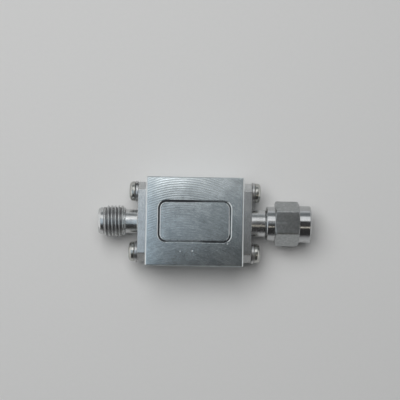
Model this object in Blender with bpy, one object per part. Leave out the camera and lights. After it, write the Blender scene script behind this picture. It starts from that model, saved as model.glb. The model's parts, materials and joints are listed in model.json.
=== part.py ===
"""RF low-pass filter in a milled housing, with a threaded jack at one end and a plug at the other.

Metres, +Z up. The connectors' common axis runs along X, the jack points to -X and the plug to +X.
The origin is the centre of the flat bottom, and the part rests on that face.
"""

import math

import bmesh
import bpy

# Housing, a block milled out from below, and the plate that closes it
HOUSING_LENGTH = 0.0195
HOUSING_WIDTH = 0.0177
HOUSING_HEIGHT = 0.0090
COVER_THICKNESS = 0.0012
OUTER_CHAMFER = 0.00022
END_WALL = 0.0026
SIDE_WALL = 0.00445
ROOF = 0.0015
POCKET_CORNER = 0.0015
LEDGE_WIDTH = 0.0007
AXIS_HEIGHT = 0.0051

# Line cut round the field on the top face
FIELD_LENGTH = 0.0142
FIELD_WIDTH = 0.0080
FIELD_CORNER = 0.00145
FIELD_LINE_WIDTH = 0.00036
FIELD_LINE_DEPTH = 0.00012

# Countersunk screws of the cover, set in from its corners
COVER_SCREW_INSET = 0.00165
COVER_SCREW_RADIUS = 0.00074
COVER_SCREW_LENGTH = 0.0028
COVER_HEAD_RADIUS = 0.0013
COVER_HEAD_DEPTH = 0.0007

# Two-hole flange, the same on both connectors
FLANGE_THICKNESS = 0.00165
FLANGE_WIDTH = 0.01588
FLANGE_HEIGHT = 0.00566
FLANGE_CORNER = 0.00154
FLANGE_HOLE_SPACING = 0.01222
FLANGE_HOLE_RADIUS = 0.0013

# Pan-head screws of the flanges and their split lock washers
SCREW_RADIUS = 0.00105
SCREW_LENGTH = 0.00635
SCREW_HEAD_RADIUS = 0.00198
SCREW_HEAD_HEIGHT = 0.00122
SCREW_HEAD_SIDE = 0.00046
SCREW_HEAD_CROWN = 0.00005
SCREW_CROWN_RADIUS = 0.00109
SCREW_POINT = 0.00016
SCREW_TURNS = (14.0, 62.0, 35.0, 80.0)
WASHER_RADIUS = 0.0021
WASHER_BORE_RADIUS = 0.00115
WASHER_THICKNESS = 0.0005
WASHER_LIFT = 0.0001
WASHER_SPLIT = 0.0003
WASHER_TURNS = (150.0, 40.0, 205.0, 310.0)

# Cross recess, as a share of the head's radius
RECESS_REACH = 0.52
RECESS_ARM = 0.22
RECESS_TAPER = 0.45
PAN_RECESS_DEPTH = 0.0007
COVER_RECESS_DEPTH = 0.00045

# Jack, from its flange outwards
JACK_BARREL_RADIUS = 0.0024
JACK_BARREL_LENGTH = 0.00247
JACK_FILLET = 0.0002
THREAD_RADIUS = 0.003175
THREAD_LENGTH = 0.00459
THREAD_PITCH = 0.0007056
THREAD_DEPTH = 0.000433
THREAD_CREST = 0.00009
THREAD_ANGLE = 60.0
THREAD_RUN_OUT = 0.3
THREAD_BITE = 0.00009
THREAD_TURN = -143.0
NOSE_RADIUS = 0.00272
NOSE_LENGTH = 0.0009
NOSE_TAPER = 0.00025
NOSE_TAPER_LENGTH = 0.0005
MOUTH_RADIUS = 0.0023
MOUTH_DEPTH = 0.00195

# Plug, from its flange outwards
PLUG_BARREL_RADIUS = 0.00275
PLUG_BARREL_LENGTH = 0.00288
PLUG_FILLET = 0.00006
PLUG_CHAMFER = 0.00012
NECK_RADIUS = 0.0025
NECK_LENGTH = 0.00242
RING_GROOVE_PLACE = 0.0009
RING_GROOVE_WIDTH = 0.0006
RING_GROOVE_DEPTH = 0.00035
TUBE_RADIUS = 0.002275
TUBE_LENGTH = 0.0041

# Coupling nut, from its rear face forwards
COLLAR_RADIUS = 0.00345
COLLAR_LENGTH = 0.00174
HEX_ACROSS_FLATS = 0.00794
HEX_LENGTH = 0.00489
HEX_CHAMFER_ANGLE = 22.0
FRONT_RING_RADIUS = 0.0037
FRONT_RING_LENGTH = 0.00234
NUT_CHAMFER = 0.0002
NUT_BORE_RADIUS = 0.00279
NUT_RELIEF_RADIUS = 0.0032
NUT_RELIEF_LENGTH = 0.0007
NUT_REAR_WALL = 0.00202
NUT_MOUTH_CHAMFER = 0.0003
NUT_TURN = -2.0

# Ring that holds the nut, and the soft ring inside it
SNAP_RING_RADIUS = 0.00285
SNAP_RING_THICKNESS = 0.0005
SNAP_RING_OPENING = 0.0012
SNAP_RING_TURN = 120.0
GASKET_RADIUS = 0.00272
GASKET_THICKNESS = 0.0007
GASKET_CHAMFER = 0.0001

# Insulators and centre contacts
DIELECTRIC_RADIUS = 0.00203
CONTACT_RADIUS = 0.000635
TAIL_RADIUS = 0.00046
TAIL_REACH = 0.0010
SOCKET_RADIUS = 0.00047
SOCKET_DEPTH = 0.0025
SLOT_WIDTH = 0.0002
SLOT_LENGTH = 0.0020
SLOT_TURNS = (45.0, 135.0)
PIN_RADIUS = 0.000457
PIN_LENGTH = 0.0020
PIN_TAPER = 0.0003
PIN_TIP_RADIUS = 0.00023

# Circuit inside the pocket
BOARD_THICKNESS = 0.0008
BOARD_CLEARANCE = 0.0002
TAIL_TO_CHIP = 0.0005
CHIP_TO_COIL = 0.00026
COIL_RADIUS = 0.00084
COIL_PITCH = 0.00064
COIL_TURNS = 4.5
COIL_STAND_OFF = 0.00035
WIRE_RADIUS = 0.00024
CHIP_LENGTH = 0.0016
CHIP_WIDTH = 0.0008
CHIP_HEIGHT = 0.0008
CHIP_END = 0.00035
CHIP_WAIST = 0.00004

# Clearances
SEAT_GAP = 0.00003
FIT_GAP = 0.00003
GROOVE_GAP = 0.00005
RUNNING_GAP = 0.0001
TAPPED_DEPTH_SPARE = 0.0004

# Fineness of the round shapes, and the distance at which points count as one
ROUND_STEPS = 32
NUT_STEPS = 36
SMALL_STEPS = 20
CORNER_STEPS = 4
COIL_STEPS = 10
OVERRUN = 0.0005
SHARP_ANGLE = 35.0
WELD = 1e-8

HALF_LENGTH = HOUSING_LENGTH / 2
HALF_WIDTH = HOUSING_WIDTH / 2
TOP_HEIGHT = COVER_THICKNESS + SEAT_GAP + HOUSING_HEIGHT
POCKET_LENGTH = HOUSING_LENGTH - 2 * END_WALL
POCKET_WIDTH = HOUSING_WIDTH - 2 * SIDE_WALL
BOARD_FACE = AXIS_HEIGHT + TAIL_RADIUS + SEAT_GAP
LEDGE_HEIGHT = BOARD_FACE + BOARD_THICKNESS + SEAT_GAP

# Chips and coils take turns at equal steps between the contacts' tails, with a chip at each end
LADDER_REACH = POCKET_LENGTH / 2 - TAIL_REACH - TAIL_TO_CHIP - CHIP_WIDTH / 2
COIL_COUNT = int(LADDER_REACH / (CHIP_WIDTH / 2 + CHIP_TO_COIL + WIRE_RADIUS + COIL_RADIUS))
LADDER_STEP = LADDER_REACH / COIL_COUNT

# Distances from an end wall's outer face, outwards
FLANGE_FACE = SEAT_GAP + FLANGE_THICKNESS
SCREW_SEAT = FLANGE_FACE + SEAT_GAP + WASHER_THICKNESS + WASHER_LIFT + SEAT_GAP
THREAD_START = FLANGE_FACE + JACK_BARREL_LENGTH
NOSE_START = THREAD_START + THREAD_LENGTH
JACK_TIP = NOSE_START + NOSE_LENGTH
JACK_PLANE = JACK_TIP - MOUTH_DEPTH
NECK_START = FLANGE_FACE + PLUG_BARREL_LENGTH
GROOVE_START = NECK_START + RING_GROOVE_PLACE
SHOULDER = NECK_START + NECK_LENGTH
PLUG_PLANE = SHOULDER + TUBE_LENGTH
NUT_START = NECK_START + RUNNING_GAP


def clear_scene():
    """Removes every object that the opened file holds."""
    for thing in list(bpy.data.objects):
        bpy.data.objects.remove(thing, do_unlink=True)


def finish(name, colour, roughness, metallic):
    """A Principled material of one colour."""
    material = bpy.data.materials.new(name)
    material.use_nodes = True
    material.diffuse_color = (*colour, 1.0)
    shader = material.node_tree.nodes["Principled BSDF"]
    shader.inputs["Base Color"].default_value = (*colour, 1.0)
    shader.inputs["Roughness"].default_value = roughness
    shader.inputs["Metallic"].default_value = metallic
    return material


def carrier(name, location, turn=0.0):
    """An empty that places the pieces hung on it, turned about the vertical by so many degrees."""
    empty = bpy.data.objects.new(name, None)
    empty.location = location
    empty.rotation_euler = (0.0, 0.0, math.radians(turn))
    bpy.context.scene.collection.objects.link(empty)
    return empty


def placed(name, data, parent=None, location=(0, 0, 0), rotation=(0, 0, 0), material=None):
    """An object of this mesh or curve, placed in its parent's frame, with the rotation in degrees."""
    thing = bpy.data.objects.new(name, data)
    thing.location = location
    thing.rotation_euler = [math.radians(angle) for angle in rotation]
    thing.parent = parent
    if material is not None:
        data.materials.append(material)
    bpy.context.scene.collection.objects.link(thing)
    return thing


def mesh_from(name, shape):
    """A mesh with this bmesh's faces, smooth across all but its sharp edges."""
    bmesh.ops.recalc_face_normals(shape, faces=shape.faces)
    data = bpy.data.meshes.new(name)
    shape.to_mesh(data)
    shape.free()
    data.shade_smooth()
    data.set_sharp_from_angle(angle=math.radians(SHARP_ANGLE))
    return data


def turned(name, profile, steps, ring=False):
    """A mesh turned about X from (x, radius) points. A ring's profile closes on itself off the axis."""
    shape = bmesh.new()
    points = [shape.verts.new((x, 0.0, radius)) for x, radius in profile]
    ends = points[1:] + points[:1] if ring else points[1:]
    edges = [shape.edges.new(pair) for pair in zip(points, ends)]
    bmesh.ops.spin(
        shape, geom=points + edges, cent=(0, 0, 0), axis=(1, 0, 0),
        dvec=(0, 0, 0), angle=math.tau, steps=steps, use_merge=True,
    )
    bmesh.ops.remove_doubles(shape, verts=shape.verts, dist=WELD)
    return mesh_from(name, shape)


def prism(name, outline, low, high):
    """A mesh of this (x, y) outline between two heights."""
    shape = bmesh.new()
    bottom = shape.faces.new([shape.verts.new((x, y, low)) for x, y in outline])
    raised = bmesh.ops.extrude_face_region(shape, geom=[bottom])["geom"]
    tops = [item for item in raised if isinstance(item, bmesh.types.BMVert)]
    bmesh.ops.translate(shape, vec=(0, 0, high - low), verts=tops)
    return mesh_from(name, shape)


def block(name, size, low, chamfer, plain_side):
    """A box standing at a height, chamfered on every edge but those round its plain side (1 top, -1 bottom)."""
    shape = bmesh.new()
    bmesh.ops.create_cube(shape, size=1.0)
    bmesh.ops.scale(shape, vec=size, verts=shape.verts)
    bmesh.ops.translate(shape, vec=(0, 0, low + size[2] / 2), verts=shape.verts)
    plain = low + (size[2] if plain_side > 0 else 0.0)
    edges = [e for e in shape.edges if any(abs(v.co.z - plain) > WELD for v in e.verts)]
    bmesh.ops.bevel(shape, geom=edges, offset=chamfer, segments=1, affect="EDGES")
    return mesh_from(name, shape)


def rounded_rectangle(length, width, radius):
    """Points of a rectangle with round corners, centred on the origin."""
    points = []
    corners = ((1, 1, 0), (-1, 1, 90), (-1, -1, 180), (1, -1, 270))
    for side_x, side_y, first in corners:
        for step in range(CORNER_STEPS + 1):
            angle = math.radians(first + 90 * step / CORNER_STEPS)
            x = side_x * (length / 2 - radius) + radius * math.cos(angle)
            y = side_y * (width / 2 - radius) + radius * math.sin(angle)
            points.append((x, y))
    return points


def line_prism(name, length, width, radius, line_width, low, high):
    """A mesh of a closed line of this width along a rounded rectangle, between two heights."""
    shape = bmesh.new()
    loops = []
    for side, height in ((0.5, low), (0.5, high), (-0.5, high), (-0.5, low)):
        spread = side * line_width
        outline = rounded_rectangle(length + 2 * spread, width + 2 * spread, radius + spread)
        loops.append([shape.verts.new((x, y, height)) for x, y in outline])
    for first, second in zip(loops, loops[1:] + loops[:1]):
        for i in range(len(first)):
            j = (i + 1) % len(first)
            shape.faces.new((first[i], first[j], second[j], second[i]))
    return mesh_from(name, shape)


def open_ring(name, inner, outer, thickness, opening, lift, steps):
    """A mesh of a ring of square section about X with an opening, its ends lifted apart along X."""
    shape = bmesh.new()
    half_gap = math.asin(opening / (inner + outer))
    sections = []
    for step in range(steps + 1):
        share = step / steps
        angle = half_gap + (math.tau - 2 * half_gap) * share
        start = lift * share
        corners = ((start, inner), (start, outer), (start + thickness, outer), (start + thickness, inner))
        sections.append([
            shape.verts.new((x, radius * math.sin(angle), radius * math.cos(angle))) for x, radius in corners
        ])
    for first, second in zip(sections, sections[1:]):
        for i in range(4):
            j = (i + 1) % 4
            shape.faces.new((first[i], first[j], second[j], second[i]))
    shape.faces.new(sections[0])
    shape.faces.new(reversed(sections[-1]))
    return mesh_from(name, shape)


def thread_ridge(name, start, length, radius, depth, pitch, steps):
    """A mesh of a right-hand thread's ridge about X, which sinks into its cylinder at both ends."""
    shape = bmesh.new()
    root = radius - depth
    flank = (depth + THREAD_BITE) * math.tan(math.radians(THREAD_ANGLE / 2))
    half_crest = THREAD_CREST / 2
    half_foot = half_crest + flank
    turns = (length - 2 * half_foot) / pitch
    count = round(turns * steps)
    sections = []
    for step in range(count + 1):
        turn = step / steps
        middle = start + half_foot + turn * pitch
        rise = min(1.0, turn / THREAD_RUN_OUT, (count / steps - turn) / THREAD_RUN_OUT)
        foot = root - THREAD_BITE
        sunk = root - THREAD_BITE / 2
        crest = sunk + (radius - sunk) * rise
        corners = (
            (middle - half_foot, foot), (middle - half_crest, crest),
            (middle + half_crest, crest), (middle + half_foot, foot),
        )
        angle = math.tau * turn
        sections.append([
            shape.verts.new((x, -level * math.sin(angle), level * math.cos(angle))) for x, level in corners
        ])
    for first, second in zip(sections, sections[1:]):
        for i in range(4):
            j = (i + 1) % 4
            shape.faces.new((first[i], first[j], second[j], second[i]))
    shape.faces.new(sections[0])
    shape.faces.new(reversed(sections[-1]))
    return mesh_from(name, shape)


def helper(name, data, parent=None, location=(0, 0, 0), rotation=(0, 0, 0)):
    """An object that only shapes others."""
    thing = placed(name, data, parent, location, rotation)
    thing.hide_render = True
    thing.display_type = "WIRE"
    return thing


def combine(target, tool, operation="DIFFERENCE"):
    """Cuts the tool from the target, or joins or intersects the two."""
    modifier = target.modifiers.new(tool.name, "BOOLEAN")
    modifier.operation = operation
    modifier.object = tool
    modifier.solver = "EXACT"


def cross_recess(name, head_radius, depth):
    """A mesh of a screw's cross recess about X, its mouth at x = 0 and its floor at -depth."""
    reach = RECESS_REACH * head_radius
    arm = RECESS_ARM * head_radius / 2
    quarter = ((reach, -arm), (reach, arm), (arm, arm))
    outline = []
    for turn in range(4):
        cosine = round(math.cos(turn * math.pi / 2))
        sine = round(math.sin(turn * math.pi / 2))
        outline += [(a * cosine - b * sine, a * sine + b * cosine) for a, b in quarter]
    shape = bmesh.new()
    loops = []
    mouth = 1 + (1 - RECESS_TAPER) * OVERRUN / depth
    for x, size in ((OVERRUN, mouth), (-depth, RECESS_TAPER)):
        loops.append([shape.verts.new((x, a * size, b * size)) for a, b in outline])
    for i in range(len(outline)):
        j = (i + 1) % len(outline)
        shape.faces.new((loops[0][i], loops[0][j], loops[1][j], loops[1][i]))
    shape.faces.new(loops[0])
    shape.faces.new(reversed(loops[1]))
    return mesh_from(name, shape)


def make_housing(metal):
    """The milled block: pocket open below, ledge for the board, end bores, tapped holes and the cut line."""
    size = (HOUSING_LENGTH, HOUSING_WIDTH, HOUSING_HEIGHT)
    bottom = COVER_THICKNESS + SEAT_GAP
    housing = placed("housing", block("housing", size, bottom, OUTER_CHAMFER, -1), material=metal)

    wide = rounded_rectangle(POCKET_LENGTH, POCKET_WIDTH, POCKET_CORNER)
    combine(housing, helper("wide_pocket", prism("wide_pocket", wide, bottom - OVERRUN, LEDGE_HEIGHT)))
    narrow = rounded_rectangle(POCKET_LENGTH - 2 * LEDGE_WIDTH, POCKET_WIDTH - 2 * LEDGE_WIDTH, POCKET_CORNER)
    top = TOP_HEIGHT - ROOF
    combine(housing, helper("narrow_pocket", prism("narrow_pocket", narrow, LEDGE_HEIGHT - OVERRUN, top)))

    line = line_prism(
        "field_line", FIELD_LENGTH, FIELD_WIDTH, FIELD_CORNER, FIELD_LINE_WIDTH,
        TOP_HEIGHT - FIELD_LINE_DEPTH, TOP_HEIGHT + OVERRUN,
    )
    combine(housing, helper("field_line", line))

    bore = DIELECTRIC_RADIUS + FIT_GAP
    inner = -END_WALL - OVERRUN
    bore_mesh = turned("end_bore", [(inner, 0), (inner, bore), (OVERRUN, bore), (OVERRUN, 0)], ROUND_STEPS)
    tapped = SCREW_RADIUS + FIT_GAP
    floor = SCREW_SEAT - SCREW_LENGTH - TAPPED_DEPTH_SPARE
    tapped_mesh = turned("flange_tap", [(floor, 0), (floor, tapped), (OVERRUN, tapped), (OVERRUN, 0)], SMALL_STEPS)
    for end in ENDS:
        combine(housing, helper(f"{end.name}_bore", bore_mesh, end))
        for side in (1, -1):
            place = (0, side * FLANGE_HOLE_SPACING / 2, 0)
            combine(housing, helper(f"{end.name}_tap_{side}", tapped_mesh, end, place))

    shank = COVER_SCREW_RADIUS + FIT_GAP
    depth = COVER_SCREW_LENGTH + TAPPED_DEPTH_SPARE
    hole = turned("cover_tap", [(-depth, 0), (-depth, shank), (0, shank), (0, 0)], SMALL_STEPS)
    for number, (x, y) in enumerate(cover_screw_places(), 1):
        combine(housing, helper(f"cover_tap_{number}", hole, location=(x, y, 0), rotation=(0, 90, 0)))


def cover_screw_places():
    """(x, y) of the cover's screws, one near each corner."""
    x = HALF_LENGTH - COVER_SCREW_INSET
    y = HALF_WIDTH - COVER_SCREW_INSET
    return ((x, y), (-x, y), (-x, -y), (x, -y))


def countersunk_profile(length, gap, over):
    """Half outline of a cover screw about X with its face at 0, grown by a gap and carried past the face."""
    return [
        (-length, 0), (-length, COVER_SCREW_RADIUS + gap), (-COVER_HEAD_DEPTH - gap, COVER_SCREW_RADIUS + gap),
        (-gap, COVER_HEAD_RADIUS + gap), (over, COVER_HEAD_RADIUS + gap), (over, 0),
    ]


def make_cover(metal, screw_metal):
    """The plate under the pocket and its four countersunk screws."""
    size = (HOUSING_LENGTH, HOUSING_WIDTH, COVER_THICKNESS)
    cover = placed("cover", block("cover", size, 0.0, OUTER_CHAMFER, 1), material=metal)
    sink = countersunk_profile(COVER_THICKNESS + OVERRUN, FIT_GAP, OVERRUN)
    sink_mesh = turned("countersink", sink, SMALL_STEPS)
    screw = countersunk_profile(COVER_SCREW_LENGTH, 0.0, 0.0)
    recess = cross_recess("cover_recess", COVER_HEAD_RADIUS, COVER_RECESS_DEPTH)
    for number, (x, y) in enumerate(cover_screw_places(), 1):
        combine(cover, helper(f"countersink_{number}", sink_mesh, None, (x, y, 0), (0, 90, 0)))
        name = f"cover_screw_{number}"
        shank = placed(name, turned(name, screw, SMALL_STEPS), None, (x, y, SEAT_GAP), (0, 90, 0), screw_metal)
        turn = SCREW_TURNS[number - 1]
        tool = helper(f"{name}_recess", recess, shank, rotation=(turn, 0, 0))
        combine(shank, tool)


def add_flange(body, end):
    """Joins the two-hole flange to a connector's body and drills it."""
    half_height = FLANGE_HEIGHT / 2
    half_width = FLANGE_WIDTH / 2
    corner = FLANGE_CORNER
    quarter = [(half_height, half_width - corner), (half_height - corner, half_width)]
    outline = (
        quarter
        + [(-a, b) for a, b in reversed(quarter)]
        + [(-a, -b) for a, b in quarter]
        + [(a, -b) for a, b in reversed(quarter)]
    )
    name = body.name
    plate = prism(f"{name}_flange", outline, SEAT_GAP, FLANGE_FACE)
    combine(body, helper(f"{name}_flange", plate, end, rotation=(0, 90, 0)), "UNION")
    hole = FLANGE_HOLE_RADIUS
    ends = (-OVERRUN, FLANGE_FACE + OVERRUN)
    drill = turned(f"{name}_drill", [(ends[0], 0), (ends[0], hole), (ends[1], hole), (ends[1], 0)], SMALL_STEPS)
    for side in (1, -1):
        place = (0, side * FLANGE_HOLE_SPACING / 2, 0)
        combine(body, helper(f"{name}_drill_{side}", drill, end, place))


def barrel_root(radius, fillet):
    """Half outline of a barrel from inside its flange to the end of the round fillet between the two."""
    inside = SEAT_GAP + FLANGE_THICKNESS / 2
    points = [(inside, 0), (inside, radius + fillet)]
    for step in range(CORNER_STEPS + 1):
        angle = math.radians(90 * step / CORNER_STEPS)
        x = FLANGE_FACE + fillet * (1 - math.cos(angle))
        points.append((x, radius + fillet * (1 - math.sin(angle))))
    return points


def make_jack(end, steel, white, gold):
    """The threaded jack: body, insulator and slotted centre contact."""
    core = THREAD_RADIUS - THREAD_DEPTH
    step = core - JACK_BARREL_RADIUS
    profile = [
        *barrel_root(JACK_BARREL_RADIUS, JACK_FILLET), (THREAD_START, JACK_BARREL_RADIUS),
        (THREAD_START + step / 2, core), (NOSE_START, core), (NOSE_START, NOSE_RADIUS),
        (JACK_TIP - NOSE_TAPER_LENGTH, NOSE_RADIUS), (JACK_TIP, NOSE_RADIUS - NOSE_TAPER), (JACK_TIP, 0),
    ]
    body = placed("jack_body", turned("jack_body", profile, ROUND_STEPS), end, material=steel)
    ridge = thread_ridge(
        "jack_ridge", THREAD_START, THREAD_LENGTH, THREAD_RADIUS, THREAD_DEPTH, THREAD_PITCH, ROUND_STEPS
    )
    combine(body, helper("jack_ridge", ridge, end, rotation=(THREAD_TURN, 0, 0)), "UNION")
    add_flange(body, end)
    bore = DIELECTRIC_RADIUS + FIT_GAP
    hollow = [
        (-OVERRUN, 0), (-OVERRUN, bore), (JACK_PLANE, bore), (JACK_PLANE, MOUTH_RADIUS),
        (JACK_TIP + OVERRUN, MOUTH_RADIUS), (JACK_TIP + OVERRUN, 0),
    ]
    combine(body, helper("jack_hollow", turned("jack_hollow", hollow, ROUND_STEPS), end))

    make_dielectric("jack_dielectric", end, JACK_PLANE, white)
    contact = placed(
        "jack_contact", turned("jack_contact", contact_profile([(JACK_PLANE, CONTACT_RADIUS)]), SMALL_STEPS),
        end, material=gold,
    )
    floor = JACK_PLANE - SOCKET_DEPTH
    mouth = JACK_PLANE + OVERRUN
    socket = [(floor, 0), (floor, SOCKET_RADIUS), (mouth, SOCKET_RADIUS), (mouth, 0)]
    combine(contact, helper("jack_socket", turned("jack_socket", socket, SMALL_STEPS), end))
    reach = CONTACT_RADIUS + OVERRUN
    half = SLOT_WIDTH / 2
    outline = [(-half, -reach), (half, -reach), (half, reach), (-half, reach)]
    blade = prism("jack_slot", outline, JACK_PLANE - SLOT_LENGTH, mouth)
    for number, turn in enumerate(SLOT_TURNS, 1):
        holder = slot_carrier(f"slot_{number}", end, turn)
        combine(contact, helper(f"jack_slot_{number}", blade, holder, rotation=(0, 90, 0)))


def slot_carrier(name, end, turn):
    """An empty on the connectors' axis, turned about it by so many degrees."""
    empty = carrier(name, (0, 0, 0))
    empty.rotation_euler = (math.radians(turn), 0, 0)
    empty.parent = end
    return empty


def contact_profile(front):
    """Half outline of a centre contact: a thin tail over the board, a thicker body, then its front points."""
    tail = -END_WALL - TAIL_REACH
    body = -END_WALL - SEAT_GAP
    return [
        (tail, 0), (tail, TAIL_RADIUS), (body, TAIL_RADIUS), (body, CONTACT_RADIUS),
        *front, (front[-1][0], 0),
    ]


def make_dielectric(name, end, plane, white):
    """An insulating tube from the pocket's wall to the connector's reference plane."""
    bore = CONTACT_RADIUS + FIT_GAP
    back = -END_WALL + SEAT_GAP
    front = plane - SEAT_GAP
    profile = [(back, bore), (front, bore), (front, DIELECTRIC_RADIUS), (back, DIELECTRIC_RADIUS)]
    placed(name, turned(name, profile, ROUND_STEPS, ring=True), end, material=white)


def make_plug(end, steel, white, gold):
    """The plug without its nut: body, insulator and pin."""
    groove_end = GROOVE_START + RING_GROOVE_WIDTH
    groove = NECK_RADIUS - RING_GROOVE_DEPTH
    profile = [
        *barrel_root(PLUG_BARREL_RADIUS, PLUG_FILLET), (NECK_START - PLUG_CHAMFER, PLUG_BARREL_RADIUS),
        (NECK_START, PLUG_BARREL_RADIUS - PLUG_CHAMFER), (NECK_START, NECK_RADIUS),
        (GROOVE_START, NECK_RADIUS), (GROOVE_START, groove), (groove_end, groove), (groove_end, NECK_RADIUS),
        (SHOULDER, NECK_RADIUS), (SHOULDER, TUBE_RADIUS), (PLUG_PLANE - PLUG_CHAMFER, TUBE_RADIUS),
        (PLUG_PLANE, TUBE_RADIUS - PLUG_CHAMFER), (PLUG_PLANE, 0),
    ]
    body = placed("plug_body", turned("plug_body", profile, ROUND_STEPS), end, material=steel)
    add_flange(body, end)
    bore = DIELECTRIC_RADIUS + FIT_GAP
    front = PLUG_PLANE + OVERRUN
    hollow = [(-OVERRUN, 0), (-OVERRUN, bore), (front, bore), (front, 0)]
    combine(body, helper("plug_hollow", turned("plug_hollow", hollow, ROUND_STEPS), end))

    make_dielectric("plug_dielectric", end, PLUG_PLANE, white)
    tip = PLUG_PLANE + PIN_LENGTH
    front_points = [
        (PLUG_PLANE, CONTACT_RADIUS), (PLUG_PLANE, PIN_RADIUS),
        (tip - PIN_TAPER, PIN_RADIUS), (tip, PIN_TIP_RADIUS),
    ]
    pin = turned("plug_pin", contact_profile(front_points), SMALL_STEPS)
    placed("plug_pin", pin, end, material=gold)


def make_nut(end, steel):
    """The coupling nut: a turned blank cut to a hexagon in its middle, then bored."""
    length = COLLAR_LENGTH + HEX_LENGTH + FRONT_RING_LENGTH
    hex_end = COLLAR_LENGTH + HEX_LENGTH
    flat = HEX_ACROSS_FLATS / 2
    corner = flat / math.cos(math.pi / 6)
    slope = math.tan(math.radians(HEX_CHAMFER_ANGLE))
    rise = (corner + NUT_CHAMFER - flat) * slope
    blank = [
        (0, 0), (0, COLLAR_RADIUS - NUT_CHAMFER), (NUT_CHAMFER, COLLAR_RADIUS), (COLLAR_LENGTH, COLLAR_RADIUS),
        (COLLAR_LENGTH, flat), (COLLAR_LENGTH + rise, corner + NUT_CHAMFER),
        (hex_end - rise, corner + NUT_CHAMFER), (hex_end, flat), (hex_end, FRONT_RING_RADIUS),
        (length - NUT_CHAMFER, FRONT_RING_RADIUS), (length, FRONT_RING_RADIUS - NUT_CHAMFER), (length, 0),
    ]
    nut = placed(
        "coupling_nut", turned("coupling_nut", blank, NUT_STEPS), end, (NUT_START, 0, 0), (NUT_TURN, 0, 0), steel
    )
    hexagon = [(corner * math.cos(math.pi * k / 3), corner * math.sin(math.pi * k / 3)) for k in range(6)]
    hexagon = [(b, a) for a, b in hexagon]
    bar = helper("hexagon", prism("hexagon", hexagon, -OVERRUN, length + OVERRUN), nut, rotation=(0, 90, 0))
    combine(nut, bar, "INTERSECT")

    rear = NECK_RADIUS + RUNNING_GAP
    groove = SNAP_RING_RADIUS + RUNNING_GAP
    ring_start = GROOVE_START + (RING_GROOVE_WIDTH - SNAP_RING_THICKNESS) / 2 - NUT_START
    groove_start = ring_start - RUNNING_GAP
    groove_end = ring_start + SNAP_RING_THICKNESS + RUNNING_GAP
    relief_end = NUT_REAR_WALL + NUT_RELIEF_LENGTH
    mouth = NUT_BORE_RADIUS + NUT_MOUTH_CHAMFER
    bore = [
        (-OVERRUN, 0), (-OVERRUN, rear), (groove_start, rear), (groove_start, groove),
        (groove_end, groove), (groove_end, rear), (NUT_REAR_WALL, rear), (NUT_REAR_WALL, NUT_RELIEF_RADIUS),
        (relief_end, NUT_RELIEF_RADIUS), (relief_end, NUT_BORE_RADIUS),
        (length - NUT_MOUTH_CHAMFER, NUT_BORE_RADIUS), (length, mouth),
        (length + OVERRUN, mouth), (length + OVERRUN, 0),
    ]
    combine(nut, helper("nut_bore", turned("nut_bore", bore, NUT_STEPS), nut))


def make_nut_holding(end, spring_steel, soft):
    """The open ring in the grooves of plug and nut, and the soft ring against the plug's shoulder."""
    inner = NECK_RADIUS - RING_GROOVE_DEPTH + GROOVE_GAP
    ring = open_ring(
        "snap_ring", inner, SNAP_RING_RADIUS, SNAP_RING_THICKNESS, SNAP_RING_OPENING, 0.0, ROUND_STEPS
    )
    start = GROOVE_START + (RING_GROOVE_WIDTH - SNAP_RING_THICKNESS) / 2
    placed("snap_ring", ring, end, (start, 0, 0), (SNAP_RING_TURN, 0, 0), spring_steel)

    inner = TUBE_RADIUS + FIT_GAP
    back = SHOULDER + SEAT_GAP
    front = back + GASKET_THICKNESS
    edge = GASKET_RADIUS - GASKET_CHAMFER
    profile = [
        (back, inner), (front, inner), (front, edge), (front - GASKET_CHAMFER, GASKET_RADIUS),
        (back + GASKET_CHAMFER, GASKET_RADIUS), (back, edge),
    ]
    placed("gasket", turned("gasket", profile, ROUND_STEPS, ring=True), end, material=soft)


def pan_head_points():
    """Half outline of a pan head above its seat: a short upright side, a round shoulder and a low crown."""
    shoulder = SCREW_HEAD_HEIGHT - SCREW_HEAD_CROWN - SCREW_HEAD_SIDE
    points = [(0, SCREW_HEAD_RADIUS)]
    for step in range(CORNER_STEPS + 1):
        angle = math.radians(90 * step / CORNER_STEPS)
        x = SCREW_HEAD_SIDE + shoulder * math.sin(angle)
        radius = SCREW_CROWN_RADIUS + (SCREW_HEAD_RADIUS - SCREW_CROWN_RADIUS) * math.cos(angle)
        points.append((x, radius))
    return points + [(SCREW_HEAD_HEIGHT, 0)]


def make_flange_fasteners(steel, spring_steel):
    """Four pan-head screws through the flanges, each with a split lock washer."""
    profile = [
        (-SCREW_LENGTH, 0), (-SCREW_LENGTH, SCREW_RADIUS - SCREW_POINT),
        (SCREW_POINT - SCREW_LENGTH, SCREW_RADIUS), (0, SCREW_RADIUS), *pan_head_points(),
    ]
    recess = cross_recess("pan_recess", SCREW_HEAD_RADIUS, PAN_RECESS_DEPTH)
    number = 0
    for end in ENDS:
        for side in (1, -1):
            turn = SCREW_TURNS[number]
            washer_turn = WASHER_TURNS[number]
            number += 1
            y = side * FLANGE_HOLE_SPACING / 2
            name = f"flange_screw_{number}"
            screw = turned(name, profile, SMALL_STEPS)
            screw = placed(name, screw, end, (SCREW_SEAT, y, 0), (turn, 0, 0), steel)
            combine(screw, helper(f"{name}_recess", recess, screw, (SCREW_HEAD_HEIGHT, 0, 0)))
            name = f"lock_washer_{number}"
            washer = open_ring(
                name, WASHER_BORE_RADIUS, WASHER_RADIUS, WASHER_THICKNESS, WASHER_SPLIT, WASHER_LIFT, SMALL_STEPS
            )
            seat = FLANGE_FACE + SEAT_GAP
            placed(name, washer, end, (seat, y, 0), (washer_turn, 0, 0), spring_steel)


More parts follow.
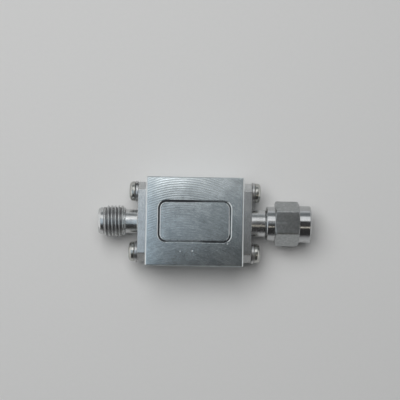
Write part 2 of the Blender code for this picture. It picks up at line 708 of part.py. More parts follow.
def make_board(laminate):
    """The circuit board, held against the pocket's ledge."""
    length = POCKET_LENGTH - 2 * BOARD_CLEARANCE
    width = POCKET_WIDTH - 2 * BOARD_CLEARANCE
    outline = rounded_rectangle(length, width, POCKET_CORNER)
    board = prism("circuit_board", outline, 0, BOARD_THICKNESS)
    placed("circuit_board", board, None, (0, 0, BOARD_FACE), material=laminate)


def coil_points():
    """Points of a coil wound about Y, centred on its winding, with a lead up from each end."""
    drop = COIL_STAND_OFF + COIL_RADIUS + WIRE_RADIUS
    length = COIL_TURNS * COIL_PITCH
    count = round(COIL_TURNS * COIL_STEPS)
    points = [(COIL_RADIUS, -length / 2, drop)]
    for step in range(count + 1):
        share = step / count
        angle = -math.tau * COIL_TURNS * share
        points.append((COIL_RADIUS * math.cos(angle), length * (share - 0.5), COIL_RADIUS * math.sin(angle)))
    points.append((-COIL_RADIUS, length / 2, drop))
    return points


def make_coils(copper):
    """The air-core coils, side by side under the board."""
    middle = BOARD_FACE - SEAT_GAP - COIL_STAND_OFF - COIL_RADIUS - WIRE_RADIUS
    for number, place in enumerate(range(1 - COIL_COUNT, COIL_COUNT, 2), 1):
        name = f"coil_{number}"
        curve = bpy.data.curves.new(name, "CURVE")
        curve.dimensions = "3D"
        curve.bevel_depth = WIRE_RADIUS
        curve.bevel_resolution = 1
        curve.use_fill_caps = True
        points = coil_points()
        spline = curve.splines.new("POLY")
        spline.points.add(len(points) - 1)
        for point, where in zip(spline.points, points):
            point.co = (*where, 1.0)
        placed(name, curve, None, (place * LADDER_STEP, 0, middle), material=copper)


def make_capacitors(ceramic):
    """The chip capacitors between and beside the coils, each a block with slightly thicker metal ends."""
    for number, place in enumerate(range(-COIL_COUNT, COIL_COUNT + 1, 2), 1):
        name = f"capacitor_{number}"
        shape = bmesh.new()
        half = CHIP_LENGTH / 2
        inner = half - CHIP_END
        stations = ((-half, 0), (-inner, 0), (-inner, CHIP_WAIST), (inner, CHIP_WAIST), (inner, 0), (half, 0))
        loops = []
        for y, waist in stations:
            a = CHIP_WIDTH / 2 - waist
            b = CHIP_HEIGHT / 2 - waist
            loops.append([shape.verts.new((x, y, z)) for x, z in ((-a, -b), (a, -b), (a, b), (-a, b))])
        for first, second in zip(loops, loops[1:]):
            for i in range(4):
                j = (i + 1) % 4
                shape.faces.new((first[i], first[j], second[j], second[i]))
        shape.faces.new(loops[0])
        shape.faces.new(reversed(loops[-1]))
        height = BOARD_FACE - SEAT_GAP - CHIP_HEIGHT / 2
        placed(name, mesh_from(name, shape), None, (place * LADDER_STEP, 0, height), material=ceramic)


clear_scene()
JACK_END = carrier("jack_end", (-HALF_LENGTH, 0, AXIS_HEIGHT), 180)
PLUG_END = carrier("plug_end", (HALF_LENGTH, 0, AXIS_HEIGHT))
ENDS = (JACK_END, PLUG_END)

milled = finish("milled_nickel", (0.62, 0.64, 0.64), 0.34, 1.0)
steel = finish("passivated_steel", (0.66, 0.66, 0.64), 0.26, 1.0)
bright = finish("bright_nut_steel", (0.58, 0.58, 0.59), 0.20, 1.0)
spring_steel = finish("spring_steel", (0.50, 0.50, 0.50), 0.35, 1.0)
screw_steel = finish("screw_steel", (0.64, 0.63, 0.60), 0.30, 1.0)
white = finish("white_insulator", (0.88, 0.88, 0.86), 0.55, 0.0)
gold = finish("gold_contact", (0.90, 0.68, 0.32), 0.22, 1.0)
soft = finish("gasket_rubber", (0.50, 0.12, 0.08), 0.65, 0.0)
laminate = finish("board_laminate", (0.62, 0.56, 0.36), 0.50, 0.0)
copper = finish("coil_copper", (0.80, 0.42, 0.24), 0.25, 1.0)
ceramic = finish("chip_ceramic", (0.52, 0.42, 0.32), 0.45, 0.0)

make_housing(milled)
make_cover(milled, screw_steel)
make_jack(JACK_END, steel, white, gold)
make_plug(PLUG_END, steel, white, gold)
make_nut(PLUG_END, bright)
make_nut_holding(PLUG_END, spring_steel, soft)
make_flange_fasteners(screw_steel, spring_steel)
make_board(laminate)
make_coils(copper)
make_capacitors(ceramic)
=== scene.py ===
"""Looks of the RF low-pass filter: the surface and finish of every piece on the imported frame, and the studio.

Sizes in the classes are millimetres in the frame's axes, and meshes are written in metres.
"""

import json
import logging
import math
from dataclasses import dataclass
from enum import Enum
from typing import Union

import bmesh
import bpy
import numpy as np
from mathutils import Matrix, Vector


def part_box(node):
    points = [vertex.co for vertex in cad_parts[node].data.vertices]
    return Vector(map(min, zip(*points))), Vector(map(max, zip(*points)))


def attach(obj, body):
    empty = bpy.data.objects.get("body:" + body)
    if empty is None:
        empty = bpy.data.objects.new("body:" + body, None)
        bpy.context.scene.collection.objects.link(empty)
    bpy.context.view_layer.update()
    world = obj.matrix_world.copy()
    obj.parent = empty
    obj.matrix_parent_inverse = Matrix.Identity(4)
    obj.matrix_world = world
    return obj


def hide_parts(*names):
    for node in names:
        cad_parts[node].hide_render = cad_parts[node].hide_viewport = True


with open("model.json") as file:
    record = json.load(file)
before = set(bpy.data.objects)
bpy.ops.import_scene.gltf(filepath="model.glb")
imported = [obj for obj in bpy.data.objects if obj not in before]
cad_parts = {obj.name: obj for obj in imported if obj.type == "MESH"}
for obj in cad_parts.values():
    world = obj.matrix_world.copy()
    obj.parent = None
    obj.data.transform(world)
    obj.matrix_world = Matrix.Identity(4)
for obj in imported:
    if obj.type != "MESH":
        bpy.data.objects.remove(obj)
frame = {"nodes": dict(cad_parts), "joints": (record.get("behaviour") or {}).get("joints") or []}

LOG = logging.getLogger("low_pass_filter")

MM = 0.001
MERGE_DISTANCE = 2e-8
SHARP_ANGLE = 33.0
EASED_SHARE = 0.45
THREAD_PITCH = 0.7056
THREAD_CREST = 0.09
TOP_MARKS = (9.0, 9.5)
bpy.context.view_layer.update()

Colour = tuple[float, float, float]


class Body(Enum):
    """The frame's moving bodies."""

    ROOT = "root"
    NUT = "nut"


class Slot(Enum):
    """Names of the record's material slots."""

    CASE = "milled_case"
    CONNECTOR = "connector_steel"
    NUT = "nut_steel"
    FASTENER = "fastener_steel"
    SPRING = "spring_steel"
    INSULATOR = "insulator"
    CONTACT = "contact_gold"
    GASKET = "gasket_rubber"
    COIL = "coil_copper"


class Cut(Enum):
    """How one closed mesh changes another."""

    REMOVE = "DIFFERENCE"
    JOIN = "UNION"


class End(Enum):
    """The two ends of the housing, as the sign of X that their connector points to."""

    JACK = -1
    PLUG = 1


@dataclass(frozen=True)
class Layout:
    """Where the frame holds the housing and the connectors' common axis."""

    half_length: float
    half_width: float
    bottom: float
    top: float
    axis: float

    @classmethod
    def from_frame(cls) -> "Layout":
        """Reads the layout from the housing's box and the nut's joint."""
        low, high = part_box("housing")
        axis = frame["joints"][0]["pos_m"][2]
        return cls(high[0] / MM, high[1] / MM, low[2] / MM, high[2] / MM, axis / MM)

    def at_end(self, points: np.ndarray, end: End) -> np.ndarray:
        """Places points that are given outwards from an end wall.

        Args:
            points: Points with X out from the wall and the connector's axis as origin.
            end: The end of the housing that they belong to.

        Returns:
            The points in the frame's axes, turned half a turn about the vertical at the jack's end.
        """
        sign = end.value
        return points * (sign, sign, 1) + (sign * self.half_length, 0, self.axis)

    def mesh(self, grid: np.ndarray, end: End, name: str, ring: bool = False) -> bpy.types.Mesh:
        """One grid, given outwards from an end wall, as a mesh in place.

        Args:
            grid: Points of shape (k, m, 3).
            end: The end of the housing that they belong to.
            name: The mesh's name.
            ring: Whether the grid closes on itself both ways.

        Returns:
            The mesh.
        """
        return Shell().add(self.at_end(grid, end), ring).mesh(name)


def full_turn(count: int) -> np.ndarray:
    """Equal angles once round."""
    return np.arange(count) * math.tau / count


def eased(points: np.ndarray, reach: Union[float, list, np.ndarray], steps: int = 4) -> np.ndarray:
    """Eases the inner corners of profiles.

    A corner P gives way to the parabola (1 - w)^2 A + 2 w (1 - w) P + w^2 B for w from 0 to 1, where A and B
    lie on the corner's two sides at the reach from P, or short of the middle of a side that is too short.

    Args:
        points: Corners, of shape (..., n, 2).
        reach: One distance, or one for each inner corner.
        steps: Parts that each parabola is split into.

    Returns:
        The first point, each corner's parabola and the last point, along the last axis but one.
    """
    points = np.asarray(points, float)
    corner = points[..., 1:-1, :]
    back = points[..., :-2, :] - corner
    ahead = points[..., 2:, :] - corner
    back_length = np.maximum(np.linalg.norm(back, axis=-1, keepdims=True), 1e-9)
    ahead_length = np.maximum(np.linalg.norm(ahead, axis=-1, keepdims=True), 1e-9)
    wanted = np.broadcast_to(np.asarray(reach, float), corner.shape[:-1])[..., None]
    used = np.minimum(wanted, EASED_SHARE * np.minimum(back_length, ahead_length))
    first = (corner + back / back_length * used)[..., None, :]
    last = (corner + ahead / ahead_length * used)[..., None, :]
    w = np.linspace(0.0, 1.0, steps + 1)[:, None]
    curve = (1 - w) ** 2 * first + 2 * w * (1 - w) * corner[..., None, :] + w**2 * last
    curve = curve.reshape(*points.shape[:-2], -1, 2)
    return np.concatenate([points[..., :1, :], curve, points[..., -1:, :]], axis=-2)


def eased_loop(points: np.ndarray, reach: float, steps: int = 3) -> np.ndarray:
    """Eases every corner of a closed outline, as eased does along an open one."""
    points = np.asarray(points, float)
    closed = np.concatenate([points[-1:], points, points[:1]])
    return eased(closed, reach, steps)[1:-1]


def turned(stations: np.ndarray, angles: np.ndarray) -> np.ndarray:
    """Carries a profile round X: the station (x, r) at angle a is the point (x, -r sin a, r cos a).

    Args:
        stations: (x, r) pairs of shape (m, 2), or (k, m, 2) where they vary with the angle.
        angles: The k angles.

    Returns:
        A grid of points of shape (k, m, 3).
    """
    stations = np.broadcast_to(stations, (len(angles), *np.shape(stations)[-2:]))
    x, radius = stations[..., 0], stations[..., 1]
    sine, cosine = np.sin(angles)[:, None], np.cos(angles)[:, None]
    return np.stack([x, -radius * sine, radius * cosine], axis=-1)


def rectangles(stations: np.ndarray, steps: int = 10) -> np.ndarray:
    """Carries a section round a rectangle with round corners.

    At the angle a of a corner with centre c the point is c + r (cos a, sin a), and c lies r inside both
    sides.

    Args:
        stations: (length, width, corner radius, height) rows, of shape (m, 4).
        steps: Parts that each corner is split into.

    Returns:
        A grid of points of shape (4 (steps + 1), m, 3).
    """
    length, width, corner, height = np.asarray(stations, float).T
    angle = (np.linspace(0, math.pi / 2, steps + 1) + np.arange(4)[:, None] * math.pi / 2).ravel()[:, None]
    side_x = np.repeat([1, -1, -1, 1], steps + 1)[:, None]
    side_y = np.repeat([1, 1, -1, -1], steps + 1)[:, None]
    x = side_x * (length / 2 - corner) + corner * np.cos(angle)
    y = side_y * (width / 2 - corner) + corner * np.sin(angle)
    return np.stack([x, y, np.broadcast_to(height, x.shape)], axis=-1)


def swept(centres: np.ndarray, across: np.ndarray, beside: np.ndarray, section: np.ndarray) -> np.ndarray:
    """Carries a section (u, v) along a path: the point is centre + u across + v beside.

    Args:
        centres: Points of the path, of shape (m, 3).
        across: The section's first direction at each point, of shape (m, 3).
        beside: The section's second direction at each point, of shape (m, 3).
        section: The section's k points (u, v).

    Returns:
        A grid of points of shape (k, m, 3).
    """
    u, v = section[:, 0][:, None, None], section[:, 1][:, None, None]
    return centres + u * across + v * beside


@dataclass(frozen=True)
class Thread:
    """A right-hand screw thread about X, as a height over a cylinder."""

    start: float
    length: float
    depth: float
    pitch: float
    crest: float
    turn: float = 0.0
    angle: float = 60.0
    run_out: float = 0.3

    def height(self, x: np.ndarray, angles: np.ndarray) -> np.ndarray:
        """Height of the ridge at each angle and place along X.

        The ridge's middle lies at x = start + half foot + pitch T, where T counts turns and its part after
        the point is the angle beyond the thread's own turn. Away from the middle the height is full over the
        crest and falls along straight flanks, and it grows from nothing over the first and last part of a
        turn.

        Args:
            x: Places of shape (m,).
            angles: Angles of shape (k,).

        Returns:
            Heights of shape (k, m).
        """
        flank = self.depth * math.tan(math.radians(self.angle / 2))
        half_foot = self.crest / 2 + flank
        turns = (self.length - 2 * half_foot) / self.pitch
        share = ((angles - math.radians(self.turn)) / math.tau)[:, None]
        along = (x - self.start - half_foot) / self.pitch
        turn = np.round(along - share) + share
        distance = np.abs(along - turn) * self.pitch
        level = np.clip((half_foot - distance) / flank, 0.0, 1.0)
        rise = np.clip(np.minimum(turn, turns - turn) / self.run_out, 0.0, 1.0)
        return self.depth * rise * level * (1.5 - 0.5 * level)


class Shell:
    """Grids of points that together become one mesh."""

    def __init__(self) -> None:
        """Starts with no points."""
        self.points: list[np.ndarray] = []
        self.faces: list[list[int]] = []
        self.count = 0

    def add(self, grid: np.ndarray, ring: bool = False) -> "Shell":
        """Adds a grid that closes on itself along its first parameter.

        Args:
            grid: Points of shape (k, m, 3).
            ring: Whether it closes along its second parameter too. If not, a flat face closes each end.

        Returns:
            This shell.
        """
        rounds, stations = grid.shape[:2]
        here = np.arange(rounds * stations).reshape(rounds, stations) + self.count
        beside = np.roll(here, -1, axis=0)
        if ring:
            quads = np.stack([here, beside, np.roll(beside, -1, axis=1), np.roll(here, -1, axis=1)], axis=-1)
        else:
            quads = np.stack([here[:, :-1], beside[:, :-1], beside[:, 1:], here[:, 1:]], axis=-1)
            self.faces += [here[::-1, 0].tolist(), here[:, -1].tolist()]
        self.faces += quads.reshape(-1, 4).tolist()
        self.points.append(grid.reshape(-1, 3))
        self.count += rounds * stations
        return self

    def mesh(self, name: str) -> bpy.types.Mesh:
        """Welds the points that meet and turns every face outwards.

        Args:
            name: The mesh's name.

        Returns:
            The mesh, in metres.
        """
        data = bpy.data.meshes.new(name)
        data.from_pydata((np.concatenate(self.points) * MM).tolist(), [], self.faces)
        shape = bmesh.new()
        shape.from_mesh(data)
        bmesh.ops.remove_doubles(shape, verts=shape.verts, dist=MERGE_DISTANCE)
        bmesh.ops.recalc_face_normals(shape, faces=shape.faces)
        shape.to_mesh(data)
        shape.free()
        return data


def combined(base: bpy.types.Mesh, tool: bpy.types.Mesh, how: Cut) -> bpy.types.Mesh:
    """Cuts one closed mesh with another, or joins the two.

    Args:
        base: The mesh that is changed.
        tool: The mesh that changes it.
        how: What the tool does.

    Returns:
        A new mesh.
    """
    holders = [bpy.data.objects.new(data.name, data) for data in (base, tool)]
    for holder in holders:
        bpy.context.scene.collection.objects.link(holder)
    cut = holders[0].modifiers.new("cut", "BOOLEAN")
    cut.operation = how.value
    cut.solver = "EXACT"
    cut.object = holders[1]
    bpy.context.view_layer.update()
    graph = bpy.context.evaluated_depsgraph_get()
    result = bpy.data.meshes.new_from_object(holders[0].evaluated_get(graph))
    for holder in holders:
        bpy.data.objects.remove(holder)
    return result


def show(
    name: str,
    mesh: bpy.types.Mesh,
    material: bpy.types.Material,
    nodes: tuple,
    body: Body = Body.ROOT,
) -> bpy.types.Object:
    """Makes a finished piece of a mesh and hangs it on the frame.

    Args:
        name: The piece's name.
        mesh: Its mesh, in place.
        material: Its finish.
        nodes: The frame's nodes that it stands for.
        body: The body that it rides on.

    Returns:
        The piece's object.
    """
    mesh.materials.clear()
    mesh.materials.append(material)
    mesh.shade_smooth()
    mesh.set_sharp_from_angle(angle=math.radians(SHARP_ANGLE))
    piece = bpy.data.objects.new(name, mesh)
    bpy.context.scene.collection.objects.link(piece)
    normals = piece.modifiers.new("even_normals", "WEIGHTED_NORMAL")
    normals.keep_sharp = True
    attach(piece, body.value)
    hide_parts(*nodes)
    LOG.info("%s: %d faces, rides on %s", name, len(mesh.polygons), body.value)
    return piece


Amount = Union[float, "Field"]


class Field:
    """A number that varies over a surface: one output socket, on which Python's operators add Math nodes."""

    def __init__(self, recipe: "Recipe", socket: bpy.types.NodeSocket) -> None:
        """Wraps a socket of a recipe."""
        self.recipe = recipe
        self.socket = socket

    def _math(self, operation: str, first: Amount, second: Amount = 0.0) -> "Field":
        """A Math node of this operation on two amounts."""
        return self.recipe.field(
            "ShaderNodeMath", {"operation": operation}, {"Value": first, "Value_001": second}
        )

    def __add__(self, other: Amount) -> "Field":
        """The sum."""
        return self._math("ADD", self, other)

    def __radd__(self, other: Amount) -> "Field":
        """The sum with a plain number first."""
        return self._math("ADD", other, self)

    def __sub__(self, other: Amount) -> "Field":
        """The difference."""
        return self._math("SUBTRACT", self, other)

    def __rsub__(self, other: Amount) -> "Field":
        """The difference with a plain number first."""
        return self._math("SUBTRACT", other, self)

    def __mul__(self, other: Amount) -> "Field":
        """The product."""
        return self._math("MULTIPLY", self, other)

    def __rmul__(self, other: Amount) -> "Field":
        """The product with a plain number first."""
        return self._math("MULTIPLY", other, self)

    def __abs__(self) -> "Field":
        """The size without the sign."""
        return self._math("ABSOLUTE", self)

    def root(self) -> "Field":
        """The square root."""
        return self._math("SQRT", self)

    def sine(self) -> "Field":
        """The sine of an angle in radians."""
        return self._math("SINE", self)

    def least(self, other: Amount) -> "Field":
        """The smaller of two amounts."""
        return self._math("MINIMUM", self, other)

    def most(self, other: Amount) -> "Field":
        """The larger of two amounts."""
        return self._math("MAXIMUM", self, other)

    def ramp(self, low: Amount, high: Amount) -> "Field":
        """A smooth step from 0 at the low amount to 1 at the high one, or from 1 to 0 if they are swapped."""
        return self.recipe.field(
            "ShaderNodeMapRange",
            {"interpolation_type": "SMOOTHSTEP"},
            {"Value": self, "From Min": low, "From Max": high},
        )


class Recipe:
    """The nodes of one material or of the world."""

    def __init__(self, tree: bpy.types.NodeTree) -> None:
        """Writes into this tree."""
        self.tree = tree

    def node(self, kind: str, settings: dict = None, inputs: dict = None) -> bpy.types.Node:
        """Adds a node.

        Args:
            kind: The node's type.
            settings: Values of its own, set first.
            inputs: Values or fields of its sockets, by the sockets' identifiers.

        Returns:
            The node.
        """
        made = self.tree.nodes.new(kind)
        for key, value in (settings or {}).items():
            setattr(made, key, value)
        for key, value in (inputs or {}).items():
            self.feed(made, key, value)
        return made

    def feed(self, node: bpy.types.Node, key: str, value: object) -> None:
        """Sets or links one input socket.

        Args:
            node: The node.
            key: The socket's identifier.
            value: A field, a plain number or a colour.
        """
        socket = next(each for each in node.inputs if each.identifier == key)
        if isinstance(value, Field):
            self.tree.links.new(value.socket, socket)
        elif socket.type == "RGBA" and len(value) == 3:
            socket.default_value = (*value, 1.0)
        else:
            socket.default_value = value

    def field(self, kind: str, settings: dict = None, inputs: dict = None, output: int = 0) -> Field:
        """Adds a node and wraps one of its outputs."""
        return Field(self, self.node(kind, settings, inputs).outputs[output])

    def vector(self, x: Amount, y: Amount, z: Amount) -> Field:
        """A vector of three amounts."""
        return self.field("ShaderNodeCombineXYZ", None, {"X": x, "Y": y, "Z": z})

    def parts(self, vector: Field) -> tuple:
        """The three numbers of a vector."""
        split = self.node("ShaderNodeSeparateXYZ", None, {"Vector": vector})
        return tuple(Field(self, socket) for socket in split.outputs)

    def noise(self, place: Field, scale: float, detail: float = 2.0, roughness: float = 0.5) -> Field:
        """Noise from 0 to 1 with so many bumps to a unit of the place."""
        return self.field(
            "ShaderNodeTexNoise", None,
            {"Vector": place, "Scale": scale, "Detail": detail, "Roughness": roughness},
        )

    def blend(self, share: Amount, first: object, second: object) -> Field:
        """A colour between two, by a share from 0 to 1."""
        mix = self.node(
            "ShaderNodeMix", {"data_type": "RGBA"},
            {"Factor_Float": share, "A_Color": first, "B_Color": second},
        )
        return Field(self, next(each for each in mix.outputs if each.identifier == "Result_Color"))


class Surface(Recipe):
    """A material's nodes, with the place on the piece in millimetres."""

    def __init__(self, name: str) -> None:
        """Makes the material with its Principled shader."""
        self.material = bpy.data.materials.new(name)
        self.material.use_nodes = True
        super().__init__(self.material.node_tree)
        self.shader = self.tree.nodes["Principled BSDF"]
        corner = self.field("ShaderNodeTexCoord", None, None, 3)
        self.place = self.field(
            "ShaderNodeVectorMath", {"operation": "SCALE"}, {"Vector": corner, "Scale": 1 / MM}
        )
        self.x, self.y, self.z = self.parts(self.place)

    def facing(self) -> tuple:
        """The three numbers of the direction that the face points in, without bump."""
        return self.parts(self.field("ShaderNodeNewGeometry", None, None, 1))

    def finish(self, height: Field = None, **sockets: object) -> bpy.types.Material:
        """Feeds the shader.

        Args:
            height: Relief in millimetres for a Bump node.
            sockets: Values or fields by socket name, with _ for a space.

        Returns:
            The material.
        """
        for key, value in sockets.items():
            self.feed(self.shader, key.replace("_", " "), value)
        if height is not None:
            bump = self.field("ShaderNodeBump", None, {"Height": height, "Distance": MM, "Strength": 1.0})
            self.feed(self.shader, "Normal", bump)
        return self.material


@dataclass(frozen=True)
class MilledNickel:
    """Plated block: the cutter's arcs across its top, fine grain, ink in the cut line, dents, and bright lips
    and side edges that are partly rubbed wear and partly painted highlight.

    The arcs are deep at the top's back left corner and fade towards the opposite one.
    """

    pale: Colour = (0.70, 0.76, 0.78)
    dull: Colour = (0.43, 0.48, 0.50)
    rubbed_and_highlight: Colour = (0.88, 0.91, 0.91)
    ink: Colour = (0.012, 0.014, 0.018)
    arc_radius: float = 18.0
    arc_middle: float = -2.2
    feed: float = 0.47
    arc_height: float = 0.005
    grain_height: float = 0.003
    dents: tuple = ((-2.80, -5.93, 0.6), (-0.41, -5.75, 1.0), (6.57, -4.28, 0.6))
    dent_radius: float = 0.24
    dent_depth: float = 0.03
    edge_highlight_slope: tuple = (0.25, 0.45)

    def material(self, line: "FieldLine") -> bpy.types.Material:
        """The finish of the housing and the cover.

        Args:
            line: The line that holds the ink.

        Returns:
            The material.
        """
        s = Surface("milled_nickel")
        facing_x, _, facing_z = s.facing()
        flat = abs(facing_z).ramp(0.75, 0.95)
        across = s.x - self.arc_middle
        arc = s.y - (self.arc_radius**2 - across * across).root()
        wander = s.noise(s.place, 0.25, 2.0) * 4.0
        waves = (arc * (math.tau / self.feed) + wander).sine() * 0.5
        corner = (s.y - s.x * 0.75).ramp(-1.0, 11.0)
        patchy = s.noise(s.place, 0.45, 2.0).ramp(0.30, 0.60)
        arcs = waves * (0.10 + corner * 0.90) * (0.60 + patchy * 0.40) * flat
        brushed = s.noise(s.vector(across * 0.35, arc * 4.5, s.z * 4.5), 1.0, 3.0, 0.6)
        grain = s.noise(s.vector(s.x * 1.8, s.y * 3.2, s.z * 3.2), 1.0, 3.0, 0.65)
        quiet = 1 - corner * 0.65
        mottle = s.noise(s.place, 0.45, 3.0)
        ink = line.ink_mask(s) * facing_z.ramp(0.1, 0.3)
        # painted highlight, partly rubbed wear: the lips of the cut line and the top chamfers that face left
        # and right are made paler and rougher
        edge_wear_and_highlight = abs(facing_x).ramp(*self.edge_highlight_slope) * facing_z.ramp(*self.edge_highlight_slope)
        rim = line.lip_wear_and_highlight_mask(s).most(edge_wear_and_highlight) * (1 - ink)
        dent = self.dent_mask(s)
        marks = (brushed * 0.40 + grain * 0.30 - 0.35) * quiet + mottle * 0.30 + arcs * 0.20
        metal = s.blend(marks.ramp(-0.01, 0.31), self.dull, self.pale)
        colour = s.blend(ink, s.blend(rim, metal, self.rubbed_and_highlight), self.ink)
        relief = arcs * self.arc_height + (brushed + grain) * quiet * self.grain_height
        return s.finish(
            relief - dent * self.dent_depth,
            Base_Color=s.blend(dent, colour, self.rubbed_and_highlight),
            Metallic=1 - ink,
            Roughness=0.17 + grain * 0.10 + ink * 0.25 + dent * 0.4 + rim * 0.15,
        )

    def dent_mask(self, s: Surface) -> Field:
        """How deep each place lies in one of the small dents, up to 1."""
        mask = s.x * 0.0
        for x, y, share in self.dents:
            away_x, away_y = s.x - x, s.y - y
            away = (away_x * away_x + away_y * away_y).root()
            mask = mask.most(away.ramp(self.dent_radius, 0.0) * share)
        return mask * s.z.ramp(*TOP_MARKS)


@dataclass(frozen=True)
class RootShade:
    """Painted shade in a thread's roots, between two radii and two places along X."""

    root_radius: float
    crest_radius: float
    first: float
    last: float
    colour: Colour = (0.05, 0.045, 0.045)
    fade: float = 0.25
    share: float = 0.55

    def mask(self, s: Surface, radius: Field) -> Field:
        """How much painted shade darkens each place, at its distance from the axis."""
        deep = radius.ramp(self.crest_radius, self.root_radius)
        along = s.x.ramp(self.first, self.first + self.fade) * s.x.ramp(self.last, self.last - self.fade)
        return deep * along * s.noise(s.place, 2.5, 2.0).ramp(0.1, 0.6) * self.share


@dataclass(frozen=True)
class TurnedSteel:
    """Turned steel: fine rings round the axis, and rougher, mottled flats that were milled on it."""

    name: str
    axis: float
    pale: Colour = (0.68, 0.69, 0.69)
    dull: Colour = (0.52, 0.53, 0.53)
    cloud: Colour = (0.30, 0.32, 0.32)
    roughness: float = 0.23
    ring_height: float = 0.0024
    flats_radius: float = 50.0
    flats_roughness: float = 0.12

    def material(self, root_shade: RootShade = None) -> bpy.types.Material:
        """The finish of one turned piece.

        Args:
            root_shade: The painted shade in its thread's roots, if any.

        Returns:
            The material.
        """
        s = Surface(self.name)
        up = s.z - self.axis
        radius = (s.y * s.y + up * up).root()
        rings = s.noise(s.vector(s.x * 16.0, s.y * 0.5, s.z * 0.5), 1.0, 3.0, 0.6)
        discs = s.noise(s.vector(radius * 14.0, s.x * 0.4, s.y * 0.05), 1.0, 2.0)
        facing_end = abs(s.facing()[0]).ramp(0.7, 0.95)
        marks = rings * (1 - facing_end) + discs * facing_end
        grain = s.noise(s.place, 12.0, 2.0, 0.7)
        mottle = s.noise(s.place, 0.8, 2.0)
        tone = (marks * 0.4 + grain * 0.2 + mottle * 0.4).ramp(0.32, 0.68)
        colour = s.blend(tone, self.dull, self.pale)
        flats = radius.ramp(self.flats_radius - 0.1, self.flats_radius)
        clouds = s.noise(s.place, 1.9, 3.0, 0.65).ramp(0.30, 0.70)
        colour = s.blend(flats * (0.25 + clouds * 0.55), colour, self.cloud)
        roughness = self.roughness + marks * 0.06 + flats * self.flats_roughness
        if root_shade:
            # painted shade: the thread's roots are darkened in patches
            shaded = root_shade.mask(s, radius)
            colour = s.blend(shaded, colour, root_shade.colour)
            roughness = roughness + shaded * 0.2
        relief = (marks + grain * 0.3) * self.ring_height
        return s.finish(relief, Base_Color=colour, Roughness=roughness, Metallic=1.0)


@dataclass(frozen=True)
class PlainMetal:
    """A metal with faint mottling and fine scratches."""

    name: str
    pale: Colour
    dull: Colour
    roughness: float = 0.25
    scratch_height: float = 0.0018
    coat: float = 0.0

    def material(self) -> bpy.types.Material:
        """The finish of a small part."""
        s = Surface(self.name)
        scratches = s.noise(s.vector(s.x * 5.0, s.y * 1.2, s.z * 14.0), 1.0, 3.0, 0.6)
        grain = s.noise(s.place, 14.0, 2.0, 0.7)
        tone = (scratches * 0.5 + s.noise(s.place, 1.6, 2.0) * 0.5).ramp(0.35, 0.65)
        return s.finish(
            (scratches + grain * 0.5) * self.scratch_height,
            Base_Color=s.blend(tone, self.dull, self.pale),
            Roughness=self.roughness + grain * 0.08,
            Metallic=1.0,
            Coat_Weight=self.coat,
        )


@dataclass(frozen=True)
class SoftSolid:
    """Plastic or rubber: two close tones, a fine grain and a dull shine."""

    name: str
    pale: Colour
    dull: Colour
    roughness: float = 0.55
    grain_scale: float = 8.0
    grain_height: float = 0.004

    def material(self) -> bpy.types.Material:
        """The finish of a part that isn't metal."""
        s = Surface(self.name)
        grain = s.noise(s.place, self.grain_scale, 3.0, 0.6)
        tone = (grain * 0.5 + s.noise(s.place, 1.1, 2.0) * 0.5).ramp(0.35, 0.65)
        return s.finish(
            grain * self.grain_height,
            Base_Color=s.blend(tone, self.dull, self.pale),
            Roughness=self.roughness + grain * 0.08,
            Metallic=0.0,
        )


@dataclass(frozen=True)
class WovenLaminate:
    """Circuit board: glass weave under resin."""

    pale: Colour = (0.60, 0.54, 0.33)
    dull: Colour = (0.46, 0.41, 0.24)
    weave: float = 0.5
    weave_height: float = 0.006

    def material(self) -> bpy.types.Material:
        """The finish of the board."""
        s = Surface("board_laminate")
        step = math.tau / self.weave
        warp = (s.x * step).sine() * 0.5 + 0.5
        weft = (s.y * step).sine() * 0.5 + 0.5
        cloth = warp * (1 - weft) + weft * (1 - warp)
        return s.finish(
            cloth * self.weave_height,
            Base_Color=s.blend(cloth * 0.7 + s.noise(s.place, 3.0) * 0.3, self.dull, self.pale),
            Roughness=0.45 + cloth * 0.1,
        )


@dataclass(frozen=True)
class TinnedCeramic:
    """Chip capacitor: brown ceramic between tinned ends."""

    ceramic: Colour = (0.40, 0.29, 0.19)
    tin: Colour = (0.66, 0.66, 0.64)
    shade: float = 0.8
    inner: float = 0.45
    grain_height: float = 0.004

    def material(self) -> bpy.types.Material:
        """The finish of the chips, whose ends lie at equal distances from the plane y = 0."""
        s = Surface("chip_ceramic")
        ends = abs(s.y).ramp(self.inner - 0.02, self.inner + 0.02)
        grain = s.noise(s.place, 12.0, 3.0)
        body = s.blend(grain, self.ceramic, tuple(self.shade * part for part in self.ceramic))
        return s.finish(
            grain * self.grain_height,
            Base_Color=s.blend(ends, body, self.tin),
            Metallic=ends,
            Roughness=0.5 - ends * 0.15 + grain * 0.1,
        )


